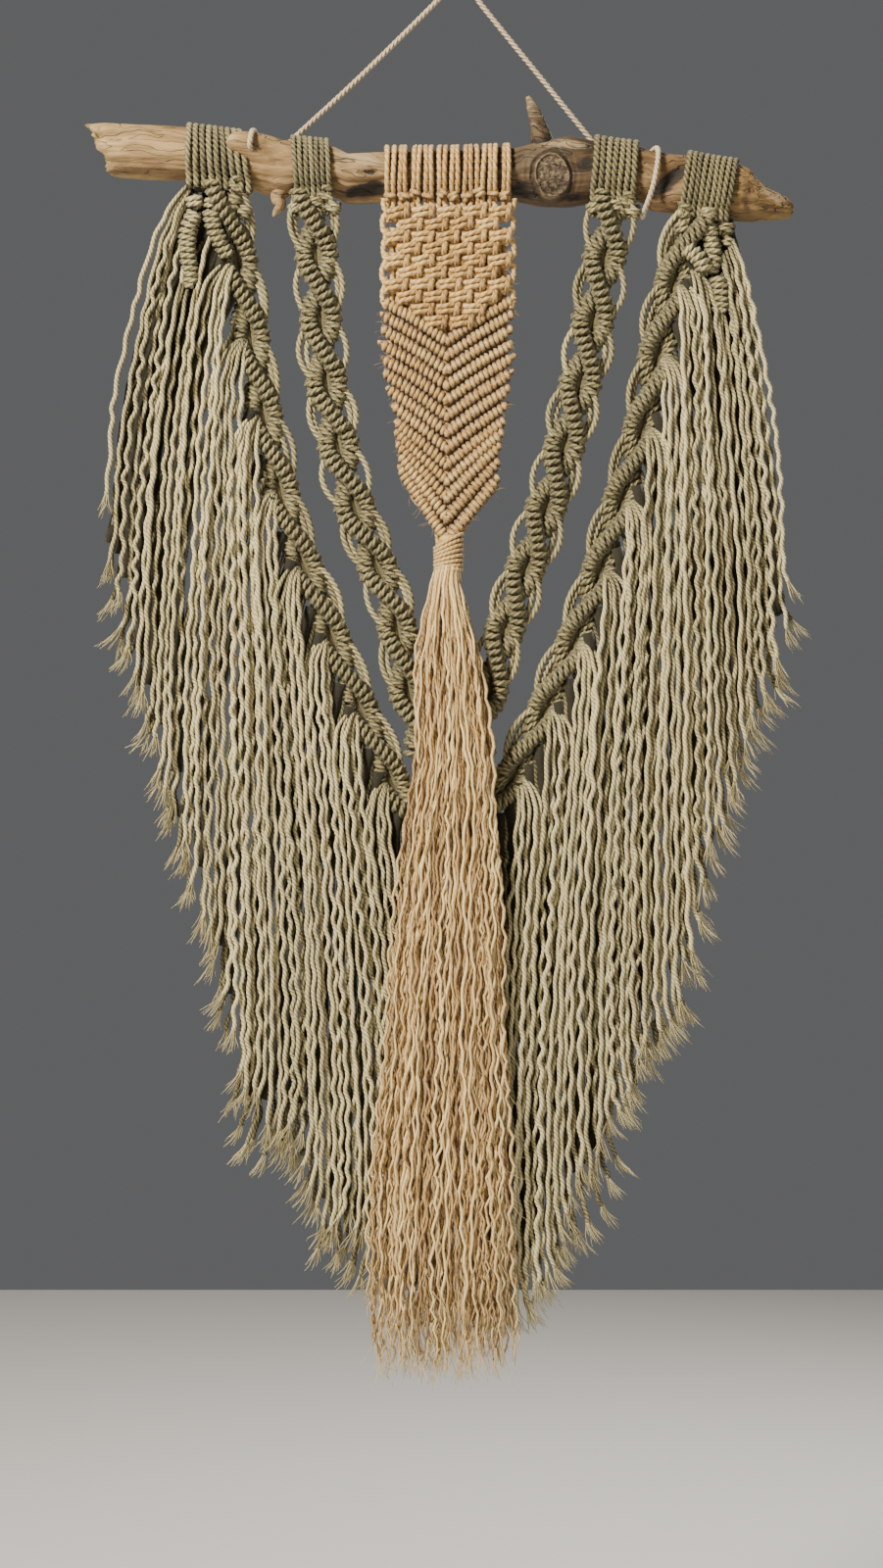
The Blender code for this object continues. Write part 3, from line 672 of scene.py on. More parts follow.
plainBand = {"depth": -33.0, "half": (18.0, 16.0), "turns": 9.6, "loops": {-1: 1, 1: 1}, "over": 1}
fringeBand = {"depth": -23.5, "half": (16.5, 14.5), "turns": 11.4}
bands = {
    "left_band": {
        **plainBand,
        "line": [(-113, 170.5), (-109, 224), (-101, 322), (-81, 409), (-52, 488), (-40, 549),
                 (-27, 601)],
        "knobs": [(-124.5, 184.5, 24), (-110.5, 180.5, 0), (-97.0, 185.0, -24)],
    },
    "right_band": {
        **plainBand,
        "line": [(118, 173), (110, 226), (92, 319), (67, 410), (36, 501), (23, 549), (12, 601)],
        "knobs": [(103.0, 184.5, 24), (117.5, 183.0, 0), (131.5, 187.5, -24)],
    },
    "left_fringe_band": {
        **fringeBand, "loops": {1: 2}, "over": 1,
        "line": [(-180, 163), (-175, 197), (-164, 257), (-155, 316), (-144, 371), (-129, 431),
                 (-109, 482), (-86, 543), (-61, 600), (-41, 643), (-12, 664)],
        "knobs": [(-202.5, 179.0, 18), (-189.0, 181.0, 6), (-176.5, 180.5, -10),
                  (-165.0, 186.0, -26)],
        "outerBars": [[(-202, 187, -33), (-207, 200, -35), (-208, 216, -35), (-206, 231, -33),
                       (-205, 243, -31)],
                      [(-190, 186, -36), (-188, 198, -35), (-183, 210, -32), (-178, 218, -29)]],
    },
    "right_fringe_band": {
        **fringeBand, "loops": {-1: 2}, "over": -1,
        "line": [(182, 184.5), (170, 218), (156, 275), (147, 320), (135, 371), (119, 423),
                 (102, 478), (82, 529), (59, 581), (36, 627), (9, 664)],
        "knobs": [(170.5, 199.0, 22), (189.5, 189.0, 4), (191.0, 200.0, -6), (203.5, 199.0, -10),
                  (205.0, 209.0, -20)],
        "outerBars": [[(190, 196, -36), (192, 208, -35), (194, 221, -34), (191, 234, -31)],
                      [(197, 236, -33), (199, 248, -34), (200, 262, -32)],
                      [(172, 215, -37), (178, 219, -38), (184, 225, -38), (188, 233, -36)]],
    },
}
banding = {
    "repeats": 9, "stepsPerTurn": 17, "barDepth": 3.9, "lift": 4.0,
    "cores": (0.24, 0.5, 0.76), "coreWidth": 5.2,      # places across the bar, and thickness
    # the last is painted shade taken off the wraps at the bar's edges
    "slim": 0.84, "fat": 0.30, "wrapShades": (0.18, 0.30), "wrapEdgeShade": 0.7,
    # A bar's upper edge while it falls to the right through one repeat: how far through, then
    # across in half widths, down in repeats and back in mm. Beside an eye the wraps lie in a fan.
    "over": [(0, -0.13, 0.0, 2.6), (0.12, -0.09, 0.07, 1.8), (0.25, 0.02, 0.17, 0.5),
             (0.5, 0.30, 0.40, 0.0), (0.75, 0.72, 0.65, 0.4), (0.88, 0.93, 0.82, 1.1),
             (1, 1.0, 1.0, 1.8)],
    "under": [(0, -0.13, 0.0, 2.6), (0.12, -0.10, 0.05, 2.0), (0.25, -0.06, 0.11, 0.9),
              (0.5, 0.24, 0.38, 0.0), (0.75, 0.62, 0.60, 0.4), (0.88, 0.90, 0.78, 1.1),
              (1, 1.0, 1.0, 1.8)],
    "loopReach": 0.42, "loopBulge": 0.40, "loopsOut": 2.2, "loopWidth": 4.3, "doubled": 0.45,
    # a half is half width and half depth; a knob loses `knobRound` of them towards its ends
    "knobReach": 5.0, "knobHalf": (7.4, 5.4), "knobRound": (2.2, 1.6), "knobPitch": 3.9,
    "knobCord": 4.4, "knobBack": 1.0,
    "outerHalf": (7.2, 5.6), "outerPitch": 4.5, "outerCore": 3.0,
    # the cords behind the eyes are painted dark as the shade seen through them
    "eyeShifts": (-2.4, 2.4), "eyeBack": 5.0, "eyeHalf": 2.9,     # the cords behind the eyes
    "swingBack": 45.0, "headingFront": 17.0,
}


def hangDepth(drop, top, depth):
    # a band leaves the stick's front and swings back to its own plane: 3e^2 - 2e^3
    ease = np.clip((drop - top) / banding["swingBack"], 0, 1)
    start = driftwood["depth"] - banding["headingFront"]
    return start + (depth - start) * ease * ease * (3 - 2 * ease)


def bandFrame(spec, count):
    # middle line, the direction across the band, its depth and half width at even steps
    middle = smoothLine(spec["line"], count)
    along = unit(np.gradient(middle, axis=0))
    sideways = np.column_stack((along[:, 1], -along[:, 0]))
    depth = hangDepth(middle[:, 1], middle[0, 1], spec["depth"])
    return middle, sideways, depth, np.linspace(*spec["half"], count)


def bandAt(spec, where, samples=900):
    # half width of the band, and a function for points beside it, `where` repeats down it
    middle, sideways, depth, reach = bandFrame(spec, samples)
    known = np.linspace(0, banding["repeats"], samples)
    x, y, sideX, sideY, deep, half = columnsAt(where, known, (*middle.T, *sideways.T, depth, reach))
    return half, lambda out, back: np.column_stack((x + sideX * out, y + sideY * out, deep + back))


def windBetween(first, second, turns, halfDepth, width, rng, stepsPerTurn, uneven=0.05, phase=0.0):
    # A cord wound round the strip between two edge lines: at a = 2 pi turns it lies at
    # middle + cos(a) half + sin(a) halfDepth back, a little uneven from turn to turn.
    # Returns its path, the way it faces and cos^4 a, which is 1 where it goes over an edge.
    first, second = inFrame(first), inFrame(second)
    samples = int(turns * stepsPerTurn) + 1
    share = np.linspace(0, 1, samples)
    count = turns * share
    at = np.linspace(0, len(first) - 1, samples)
    marks = np.arange(int(turns) + 3)
    at = np.clip(at + np.interp(count, marks, rng.normal(0, 0.07, len(marks)))
                 * len(first) / turns, 0, len(first) - 1)
    edges = [np.column_stack(columnsAt(at, np.arange(len(line)), line.T))
             for line in (first, second)]
    middle = 0.5 * (edges[0] + edges[1])
    half = 0.5 * (edges[0] - edges[1])
    wide = np.linalg.norm(half, axis=1, keepdims=True)
    side = half / wide
    loose = 1 + np.interp(count, marks, rng.normal(0, uneven, len(marks)))[:, None]
    wide = np.maximum(wide - 0.5 * width * mm, 0.5 * mm) * loose
    deep = np.interp(share, np.linspace(0, 1, np.size(halfDepth)),
                     np.ravel(halfDepth))[:, None] * mm * loose
    back = unit(np.cross(side, unit(np.gradient(middle, axis=0))))
    back = back * np.sign(back[:, 1:2])
    a = (2 * math.pi * (count + phase))[:, None]
    path = middle + np.cos(a) * side * wide + np.sin(a) * back * deep
    facing = unit(np.cos(a) * side * deep + np.sin(a) * back * wide)
    return path, facing, np.cos(a[:, 0]) ** 4


def woundCord(centre, halfWidth, halfDepth, pitch, rng, width=cord["width"], perTurn=18,
              uneven=0.05, phase=0.0, shade=None, darker=0.75):
    # a cord wound round a bar; its own half width is taken off the bar's depth and width, and it
    # is painted darker by `darker` at the bar's edges, as shade where it turns round them; a half
    # width below nought winds it the other way
    centre = np.array(centre, float)
    along = unit(np.gradient(centre, axis=0))
    sideways = np.column_stack((along[:, 1], -along[:, 0], 0 * along[:, 0]))
    reach = unit(sideways) * np.broadcast_to(halfWidth, len(centre))[:, None]
    turns = runAlong(centre)[-1] / pitch
    path, facing, edge = windBetween(centre + reach, centre - reach, turns,
                                     np.maximum(np.asarray(halfDepth) - 0.5 * width, 0.8), width,
                                     rng, perTurn, uneven, phase)
    shade = rng.uniform(0.3, 0.75) if shade is None else shade
    return skinCords(path, 0.5 * width * mm, facing, cord["twist"] * mm, lobe=cord["lobe"],
                     shade=(shade - darker * edge)[None])


def headingCords(name, rng):
    # each cord goes up the stick's front, over it and down its back, and comes forward under it
    spec = headings[name]
    count, pairing, stray = spec["count"], spec["pairing"], spec["stray"]
    share = (np.arange(count) + 0.5 + pairing * (1 - np.arange(count) % 2 * 2)
             + pairing * rng.normal(0, 0.7, count)) / count
    (left, right), (lowLeft, lowRight) = spec["top"], spec["bottom"]
    top = left + share * (right - left) + rng.normal(0, stray, count)
    low = lowLeft + share * (lowRight - lowLeft) + rng.normal(0, 0.5 * stray, count)
    width = (right - left) / count
    angle = np.linspace(math.pi + 0.75, -0.5 * math.pi - 0.35, 34)
    depth = driftwood["depth"]
    parts = []
    for above, below in zip(top, low):
        lean = np.interp(angle, (-2, -0.5, math.pi / 2, math.pi + 0.8), (1, 0.6, 0, 1))
        across = above + (below - above) * lean + 0.25 * np.sin(3 * angle + above)
        ring = stickPoint(across, angle, 1.0 + 0.5 * width)
        under = tableAt(below, driftwood["sections"])[0] + underStick["drop"]
        knot = np.array((below, under, depth - underStick["front"]))
        fine = smoothLine(np.vstack((knot + (0, 3, -1.0), ring, knot + (0, 2, 3.0))), 66)
        middle = np.column_stack((fine[:, 0], tableAt(fine[:, 0], driftwood["sections"])[0],
                                  np.full(len(fine), depth)))
        facing = unit(inFrame(fine) - inFrame(middle))
        half = spec["thick"] * width * rng.uniform(0.97, 1.03) * mm
        parts.append(skinCords(inFrame(fine), half, facing, cord["twist"] * mm, sides=9, lobe=0.15,
                               shade=rng.uniform(*spec["shades"])))
    return parts


def knobs(spec, rng):
    # a knob is two and a half turns round an upright bar ten millimetres long
    parts = []
    t = np.linspace(-1, 1, 9)[:, None]
    wide, deep = (half - rounded * t[:, 0] ** 2
                  for half, rounded in zip(banding["knobHalf"], banding["knobRound"]))
    for across, drop, tilt in spec["knobs"]:
        lean = math.radians(tilt)
        depth = hangDepth(drop, spec["line"][0][1], spec["depth"]) + banding["knobBack"]
        line = np.array((across, drop, depth))
        line = line + t * banding["knobReach"] * np.array((math.sin(lean), math.cos(lean), 0.0))
        parts.append(woundCord(line, wide, deep, banding["knobPitch"], rng,
                               width=banding["knobCord"], perTurn=20))
    return parts


def barEdges(spec, direction, count):
    # A bar falls from one side to the other in each repeat and comes back in the next. Its upper
    # edge follows the table; its lower edge is the same table turned half round.
    phase = np.linspace(0, banding["repeats"], count)
    repeat = np.minimum(phase.astype(int), banding["repeats"] - 1)
    s = phase - repeat
    goes = direction * (1 - 2 * (repeat % 2))
    isOver = goes == spec["over"]
    upper, lower = (np.where(isOver[:, None], throughPoints(t, banding["over"]),
                             throughPoints(t, banding["under"])).T for t in (s, 1 - s))
    lift = banding["lift"] * np.where(isOver, -1, 1) * np.sin(math.pi * s) ** 1.3
    edges = []
    for across, down, back in (upper, (-lower[0], 1 - lower[1], lower[2])):
        half, beside = bandAt(spec, repeat + down)
        edges.append(beside(goes * across * half, back) + lift[:, None] * (0, 0, 1))
    toRight = (goes > 0)[:, None]
    return np.where(toRight, *edges), np.where(toRight, *edges[::-1])


def barWraps(spec, direction, rng):
    # the wraps, slimmer towards the eye and painted darker at the bar's edges as shade between the
    # bars, and the cords that they hold, painted dark between them as shade
    right, left = barEdges(spec, direction, 1800)
    turns = spec["turns"] * banding["repeats"]
    path, facing, edge = windBetween(right, left, turns, banding["barDepth"], cord["width"], rng,
                                     banding["stepsPerTurn"], phase=0.3 * direction)
    middle = bandFrame(spec, 900)[0]
    drop = -path[:, 2] / mm
    out = abs(path[:, 0] / mm - np.interp(drop, middle[:, 1], middle[:, 0])) / spec["half"][0]
    half = 0.5 * cord["width"] * mm * (banding["slim"] + banding["fat"] * np.clip(out, 0, 1))
    shade = rng.uniform(*banding["wrapShades"]) - banding["wrapEdgeShade"] * edge
    wraps = skinCords(path, half, facing, cord["twist"] * mm, lobe=cord["lobe"],
                      shade=shade[None])
    share = np.array(banding["cores"])[:, None, None]
    cores = (right + (left - right) * share)[:, ::25]
    return [wraps, plainCords(cores, 0.5 * banding["coreWidth"], -0.35, sides=5)]


def edgeLoops(spec, rng):
    # a loop runs past each crossing: out = reach - bulge reach (t / loopReach)^2
    parts = []
    t = np.linspace(-banding["loopReach"], banding["loopReach"], 7)
    bow = (t / banding["loopReach"]) ** 2
    for crossing in np.arange(0.5, banding["repeats"] - 0.9):
        for side, cords in spec["loops"].items():
            for k in range(cords + (rng.random() < banding["doubled"])):
                half, beside = bandAt(spec, crossing + t + 0.03 * k)
                bulge = banding["loopBulge"] * half * bow
                away = side * (half + banding["loopsOut"] - 0.42 * cord["width"] - bulge - 4.0 * k
                               + rng.uniform(-0.8, 1.4) * (1 - bow))
                line = beside(away, 2.6 * k) + (0, 0, rng.uniform(-0.8, 0.8))
                fine = smoothLine(line, max(6, int(runAlong(line)[-1] / 1.5)))
                parts.append(layCords(fine, 0.5 * banding["loopWidth"], cord["twist"], sides=9,
                                      lobe=2.2 * cord["lobe"], shade=rng.uniform(0.25, 0.75)))
    return parts


def makeBand(name, seed):
    rng = np.random.default_rng(seed)
    spec = bands[name]
    parts = headingCords(name, rng) + knobs(spec, rng)
    for direction in (-1, 1):
        parts += barWraps(spec, direction, rng)
    middle, sideways, depth = bandFrame(spec, 90)[:3]
    # cords behind the eyes, painted dark as the shade seen through them
    for shift in banding["eyeShifts"]:
        line = np.column_stack((middle + sideways * shift, depth + banding["eyeBack"]))
        parts.append(plainCords(line, banding["eyeHalf"], -0.4))
    left, right = headings[name]["bottom"]
    # a bundle under the heading, painted dark as the shade under the stick
    deep = driftwood["depth"] - underStick["bundleFront"]
    bundle = [(x, tableAt(x, driftwood["sections"])[0] + underStick["bundleDrop"], deep)
              for x in (left + 7, 0.5 * (left + right), right - 9)]
    parts.append(plainCords(smoothLine(bundle, 8), underStick["bundleHalf"], -1.0, sides=8))
    for line in spec.get("outerBars", ()):
        parts.append(woundCord(smoothLine(line, 60), *banding["outerHalf"], banding["outerPitch"],
                               rng))
        # its core, painted dark as the shade between the wraps
        parts.append(plainCords(smoothLine(line, 14), banding["outerCore"], -0.5))
    parts += edgeLoops(spec, rng)
    layMesh(name + "_knots", name, parts, sageCotton)


for seed, name in enumerate(bands):
    makeBand(name, 20 + seed)
print("bands knotted")

# Fringes

fringes = {
    "left_fringe": {
        "band": "left_fringe_band", "side": -1, "seed": 41,
        # the bottom outline: across and drop
        "ends": [(-268, 476), (-255, 526), (-239, 586), (-224, 651), (-200, 730), (-178, 827),
                 (-159, 922), (-120, 930), (-101, 998), (-74, 1022), (-30, 1040), (-8, 1080)],
        # roots under the heading: across, drop, how far the strand fans out
        "outerRoots": [(-207.5, 166.5, 8.5), (-206.5, 168, 7.5), (-206, 171, 6.2), (-205, 174, 5.5),
                       (-208, 196, 2), (-201, 201, 3), (-213, 241, 2), (-208, 246, 2),
                       (-202, 246, 1), (-187.5, 199, 6)],
        "fill": [(-206, 168), (-204, 171), (-199, 174), (-194, 178), (-188, 182), (-182, 188),
                 (-176, 196)],
    },
    "right_fringe": {
        "band": "right_fringe_band", "side": 1, "seed": 52,
        "ends": [(9, 1055), (53, 1046), (75, 997), (104, 968), (115, 905), (133, 869), (164, 819),
                 (175, 777), (189, 702), (208, 652), (227, 582), (243, 556), (247, 496)],
        "outerRoots": [(208.5, 209, 3.5), (207.5, 212, 2.8), (206, 214, 2.2), (203.5, 216, 2.0),
                       (201, 219, 2), (198, 214, 3), (207, 258, 2), (202, 264, 2), (196, 262, 1),
                       (185, 236, 15), (183, 234, 12.5), (181, 232.5, 9.5), (179, 231.5, 6.5),
                       (177, 231, 3)],
        "fill": [(205, 198), (201, 198), (197, 197), (193, 198), (188, 200), (183, 206),
                 (177, 214)],
    },
}
fringing = {
    "width": 3.9, "step": 3.8, "sides": 5, "twist": 11.0,
    "perEye": 5, "spread": 20.0, "behind": 48,
    # how far above the outline the cords in front, behind and in between end, and in steps up to
    "above": (18, 16, 60), "stepped": 62,
    "frontDepths": (-35.5, -33.0, -36.5, -31.5), "behindDepths": (-27.5, -21.0),
    "wave": 23.0, "waveSize": 1.35,              # length and half height of the crimp, mm
    "hook": 8.0, "hookLength": 34.0,             # the ends swing outward
    "threads": 11, "threadLength": (12, 22), "threadSpread": (1.5, 7.5), "threadWidth": 0.85,
    # front cords painted lighter than those behind, as lit and shaded; painted shade at the roots
    # and on the front of the fill
    "frontShades": (0.60, 1.25), "behindShades": (-0.35, 0.25),
    "rootWidth": 0.66, "grownWidth": 0.34, "rootShade": 0.8,
    "fillWidth": 10.2, "fillDepth": -24.5, "fillDarkFrom": -23.0, "fillShades": (-1.3, 0.25),
}


def strandPaths(roots, fan, feet, drops, depths, side, rng, crimp=1.0):
    # A strand leaves its root, fans out within a few mm and drifts to its foot:
    # across = root + fan (1 - exp(-d / 13)) + drift (1 - (1 - d / D)^2), d the way down, D all of
    # it; a crimp of two waves a quarter turn apart grows from the root, and the end swings outward.
    start, end = roots[:, 1:2], drops[:, None]
    count = len(roots)
    steps = int(np.max(end - start) / fringing["step"]) + 2
    share = np.linspace(0, 1, steps)[None]
    down = share * (end - start)

    def grown(length):
        return 1 - np.exp(-down / length)

    def each(low, high):
        return rng.uniform(low, high, (count, 1))

    far = feet[:, None] - roots[:, :1] - fan[:, None]
    across = roots[:, :1] + fan[:, None] * grown(13) + far * (1 - (1 - share) ** 2)
    deep = roots[:, 2:3] + (depths[:, None] - roots[:, 2:3]) * grown(11)
    length = fringing["wave"] * each(0.72, 1.30)
    slow = 2 * math.pi * down / each(70, 150) + each(0, 7)
    turn = 2 * math.pi * down / length + 0.9 * np.sin(slow) + each(0, 7)
    size = (crimp * fringing["waveSize"] * each(0.55, 1.2) * grown(22)
            * (0.8 + 0.3 * np.sin(slow * 1.7 + 1)))
    across = across + size * np.sin(turn) + 0.8 * np.sin(0.6 * slow) * grown(30)
    late = np.clip(1 - (end - start - down) / fringing["hookLength"], 0, 1)
    across = across + side * fringing["hook"] * each(0.1, 1.0) * late ** 2
    deep = deep + 0.8 * size * np.cos(turn)
    return np.stack((across, start + down, deep), axis=-1)


def frayedEnds(paths, side, rng):
    # threads that open like a brush: t of the way along a thread lies out by spread t^1.4, with
    # a small curl, in its own direction round the strand's end, and all swing outward a little
    count, threads = len(paths), fringing["threads"]
    end = paths[:, -1]
    way = unit(paths[:, -1] - paths[:, -4])[:, None, None]
    t = np.linspace(0, 1, 6)[None, None]
    turn = (np.arange(threads) / threads * 2 * math.pi)[None] + rng.uniform(0, 7, (count, 1))
    turn = (turn + rng.normal(0, 0.3, (count, threads)))[..., None]
    spread, length = (rng.uniform(*fringing[key], (count, threads))[..., None]
                      for key in ("threadSpread", "threadLength"))
    curl = rng.normal(0, 1.0, (count, threads, 1)) * np.sin(
        t * rng.uniform(3, 8, (count, threads, 1)) + rng.uniform(0, 7, (count, threads, 1)))
    out = 1.1 + spread * t ** 1.4
    run = length * (t - 0.12)
    swing = side * 0.35 * rng.uniform(0, 1, (count, 1, 1)) * run * t
    across = np.cos(turn) * out + curl * t + way[..., 0] * run + swing
    deep = 0.8 * np.sin(turn) * out + 0.6 * curl * t + way[..., 2] * run
    points = end[:, None, None] + np.stack((across, way[..., 1] * run, deep), axis=-1)
    width = 0.5 * fringing["threadWidth"] * np.array((1.3, 1.15, 1, 0.95, 0.85, 0.55))
    return layCords(points.reshape(count * threads, 6, 3), width[None], 6, sides=3,
                    shade=rng.uniform(0.5, 1.0, count * threads), ply=0.0)


def frontStrands(spec, band, outermost, inner, rng):
    # roots: a few under the heading's outer end, then a bunch that springs from each eye
    side, each, repeats = spec["side"], fringing["perEye"], banding["repeats"]
    middle, _, depth, _ = bandFrame(band, repeats * 20 + 1)
    eyes = np.column_stack((middle, depth))[20::20]
    outerRoots = np.array(spec["outerRoots"], float)
    place = (np.tile(np.arange(each)[::-1], repeats) + 0.5) / each
    roots = eyes[np.repeat(np.arange(repeats), each)] + np.stack(
        (side * (2.5 + 4.5 * place), 4.0 - 4.0 * place, -1.4 + 0.9 * np.sin(9 * place)), -1)
    fan = side * (fringing["spread"] * place + 0.5) + rng.normal(0, 0.5, len(place))
    outerDepths = -34.5 + 1.5 * (np.arange(len(outerRoots)) % 2)
    roots = np.vstack((np.column_stack((outerRoots[:, :2], outerDepths)), roots))
    fan = np.concatenate((side * outerRoots[:, 2], fan))

    # feet stand evenly from the outer edge to the inner one, and end unevenly above the outline
    count = len(roots)
    foot = np.arange(count) / (count - 1)
    feet = outermost + (inner - outermost) * foot + rng.normal(0, 0.7, count)
    depths = np.array(fringing["frontDepths"])[np.arange(count) % 4] + rng.normal(0, 0.4, count)
    marks = np.arange(0, count + 3, 3)
    steps = np.interp(np.arange(count), marks, rng.uniform(0, 1, len(marks))) ** 2
    shorter = 2 + fringing["stepped"] * steps + rng.uniform(0, 14, count)
    low = tableAt(feet, spec["ends"])[0]
    return strandPaths(roots, fan, feet, low - fringing["above"][0] - shorter, depths, side, rng)


def makeFringe(name):
    spec = fringes[name]
    rng = np.random.default_rng(spec["seed"])
    band, side = bands[spec["band"]], spec["side"]
    outermost, inner = (spec["ends"][k][0] for k in ((0, -1) if side < 0 else (-1, 0)))
    front = frontStrands(spec, band, outermost, inner, rng)

    # fuller cords behind, down to the outline, painted darker than those in front as shade
    behind = fringing["behind"]
    middle, sideways, _, reach = bandFrame(band, banding["repeats"] * 20 + 1)
    t = (np.arange(behind) + 0.5) / behind
    edge = middle + sideways * (side * reach * 0.45)[:, None]
    order = np.argsort(edge[:, 0])
    feet = outermost + (inner - outermost) * t + rng.normal(0, 1.0, behind)
    roots = np.interp(t, (0, 1), (edge[4, 0], edge[-1, 0])) + side * 8 * (1 - t)
    drops = np.interp(roots, edge[order, 0], edge[order, 1])
    layer = np.array(fringing["behindDepths"])[np.arange(behind) % 2]
    start = np.column_stack((roots, drops, 0 * t - 24.0))
    low = tableAt(feet, spec["ends"])[0]
    back = strandPaths(start, side * rng.uniform(0, 4, behind), feet,
                       low - fringing["above"][1] - rng.uniform(0, 16, behind), layer, side, rng)

    # thick cords in between, painted dark towards the front as the shade in the gaps and lighter
    # behind, which end short of the outline
    near = np.column_stack((np.array(spec["fill"], float), np.full(len(spec["fill"]), -30.0)))
    nearFeet = outermost - side * (6 + 7.0 * np.arange(len(near)))
    roots = np.vstack((start[1::2] + (0, 0, -1.0), near))
    feet = np.concatenate((feet[1::2], nearFeet))
    low = tableAt(feet, spec["ends"])[0]
    fill = strandPaths(roots, side * 2.0 + 0 * feet, feet, low - fringing["above"][2],
                       0 * feet + fringing["fillDepth"], side, rng, 0.4)
    filling = layCords(fill[:, ::4], 0.5 * fringing["fillWidth"], 14, sides=5, ply=0.0)
    dark, light = fringing["fillShades"]
    isFront = filling["points"][:, 1] <= fringing["fillDarkFrom"] * mm
    filling["shade"] = np.where(isFront, dark, light)

    parts = [filling]
    half = 0.5 * fringing["width"] * mm
    for group, shades in ((front, fringing["frontShades"]), (back, fringing["behindShades"])):
        # slim, with painted shade where it leaves the knots; grown = 1 - exp(-d / 9), d the way
        # down
        grown = 1 - np.exp(-(group[:, :, 1] - group[:, :1, 1]) / 9)
        share = fringing["rootWidth"] + fringing["grownWidth"] * grown
        width = half * rng.uniform(0.92, 1.08, (len(group), 1)) * share
        tone = rng.uniform(*shades, (len(group), 1)) - fringing["rootShade"] * (1 - grown)
        parts.append(skinCords(inFrame(group), width, backward, fringing["twist"] * mm,
                               sides=fringing["sides"], shade=tone))
        parts.append(frayedEnds(group, side, rng))
    layMesh(name + "_strands", name, parts, sageCotton)


for name in fringes:
    makeFringe(name)
print("fringes hung")

# Centre panel

panel = {
    "depth": -41.5, "middle": -9.75, "width": 4.2, "knotWidth": 4.5, "twist": 11.0,
    "edges": [(175, -57, 40), (262, -58, 40), (294, -60, 40), (330, -52, 36), (367, -45, 30),
              (405, -42, 26), (425, -24, 9), (439, -17, 2)],     # drop, left, right
    "firstRow": 188.5, "rowPitch": 9.2, "rows": 11, "across": 5,
    "clearance": 8.5, "knotShades": (0.20, 0.75),
    # the bars: number, drop of its middle, slope of its left and right halves
    "bars": [(0, 287, 0.62, 0.62), (4, 332, 0.64, 0.64), (8, 381, 0.80, 0.74),
             (10, 406.5, 1.05, 0.96), (11, 421.5, 1.28, 1.07), (12, 439.0, 1.50, 1.18)],
    "barEnds": [(262, -58, 40), (294, -60, 40), (330, -52, 36), (367, -46, 31), (410, -44, 28)],
    # the last is painted shade taken off the bars' wraps at their edges
    "barDepth": 4.4, "wrapPitch": 4.15, "barShades": (0.50, 0.90), "barEdgeShade": 1.5,
    "tuck": 3.0, "neck": (406, 32, 7.0),     # the neck's drop, its length, how far it comes forward
    # the cords in the neck: across of the middle one, spacing, drop, back, outer ones forward by
    "neckCords": 7, "neckLine": [(-10, 2.6, 424, 1.6, 0), (-9.6, 2.5, 434, 0, 0),
                                 (-9, 2.3, 446, 0, 0.5)],
    # the knobs under the heading; a half is half width and half depth
    "knobs": 10, "knobDrop": 176.5, "knobReach": 2.6, "knobHalf": (5.2, 4.6), "knobRound": 1.2,
    "knobPitch": 3.2, "knobCord": 4.0,
    "backing": 22, "backingDrops": (200, 446), "backingInset": 4, "backingBack": 2.8,
    "hairs": 150,
}

# one square knot: across, up, depth of its two working cords and of a filler
squareKnot = {
    "front": [(-8.2, 5.4, 0.5), (-7.6, 2.6, -0.6), (-5, 0.9, -2.8), (0, 2.0, -4.1),
              (4.2, 3.2, -2.8), (5.6, 2.4, 0.2), (5.0, 0.3, 1.0), (4.4, -1.0, -2.6),
              (0, -2.2, -4.1), (-5, -3.4, -2.8), (-7.0, -4.8, -0.6), (-6.4, -6.6, 0.5)],
    "back": [(8.2, 5.8, 0.5), (7.6, 4.2, -2.0), (7.1, 2.0, -4.4), (6.9, -0.8, -4.9),
             (6.5, -3.0, -3.4), (4.8, -4.2, 0.2), (0, -2.8, 3.2), (-4, -1, 2.8),
             (-7.0, 0.6, 0.6), (-8.3, -0.8, -1.6), (-7.2, -2.8, -1.4), (-4, -4.4, 1.8),
             (0, -5.0, 2.6), (3.6, -5.2, 1.6), (5.6, -6.4, 0.6)],
    "filler": [(-4, 5, 0.4), (-2.1, 3, 0), (-2, 0, 0), (-2.1, -3, 0), (-3, -5.5, 0.4)],
}


def panelSides(drop):
    return tableAt(drop, panel["edges"])


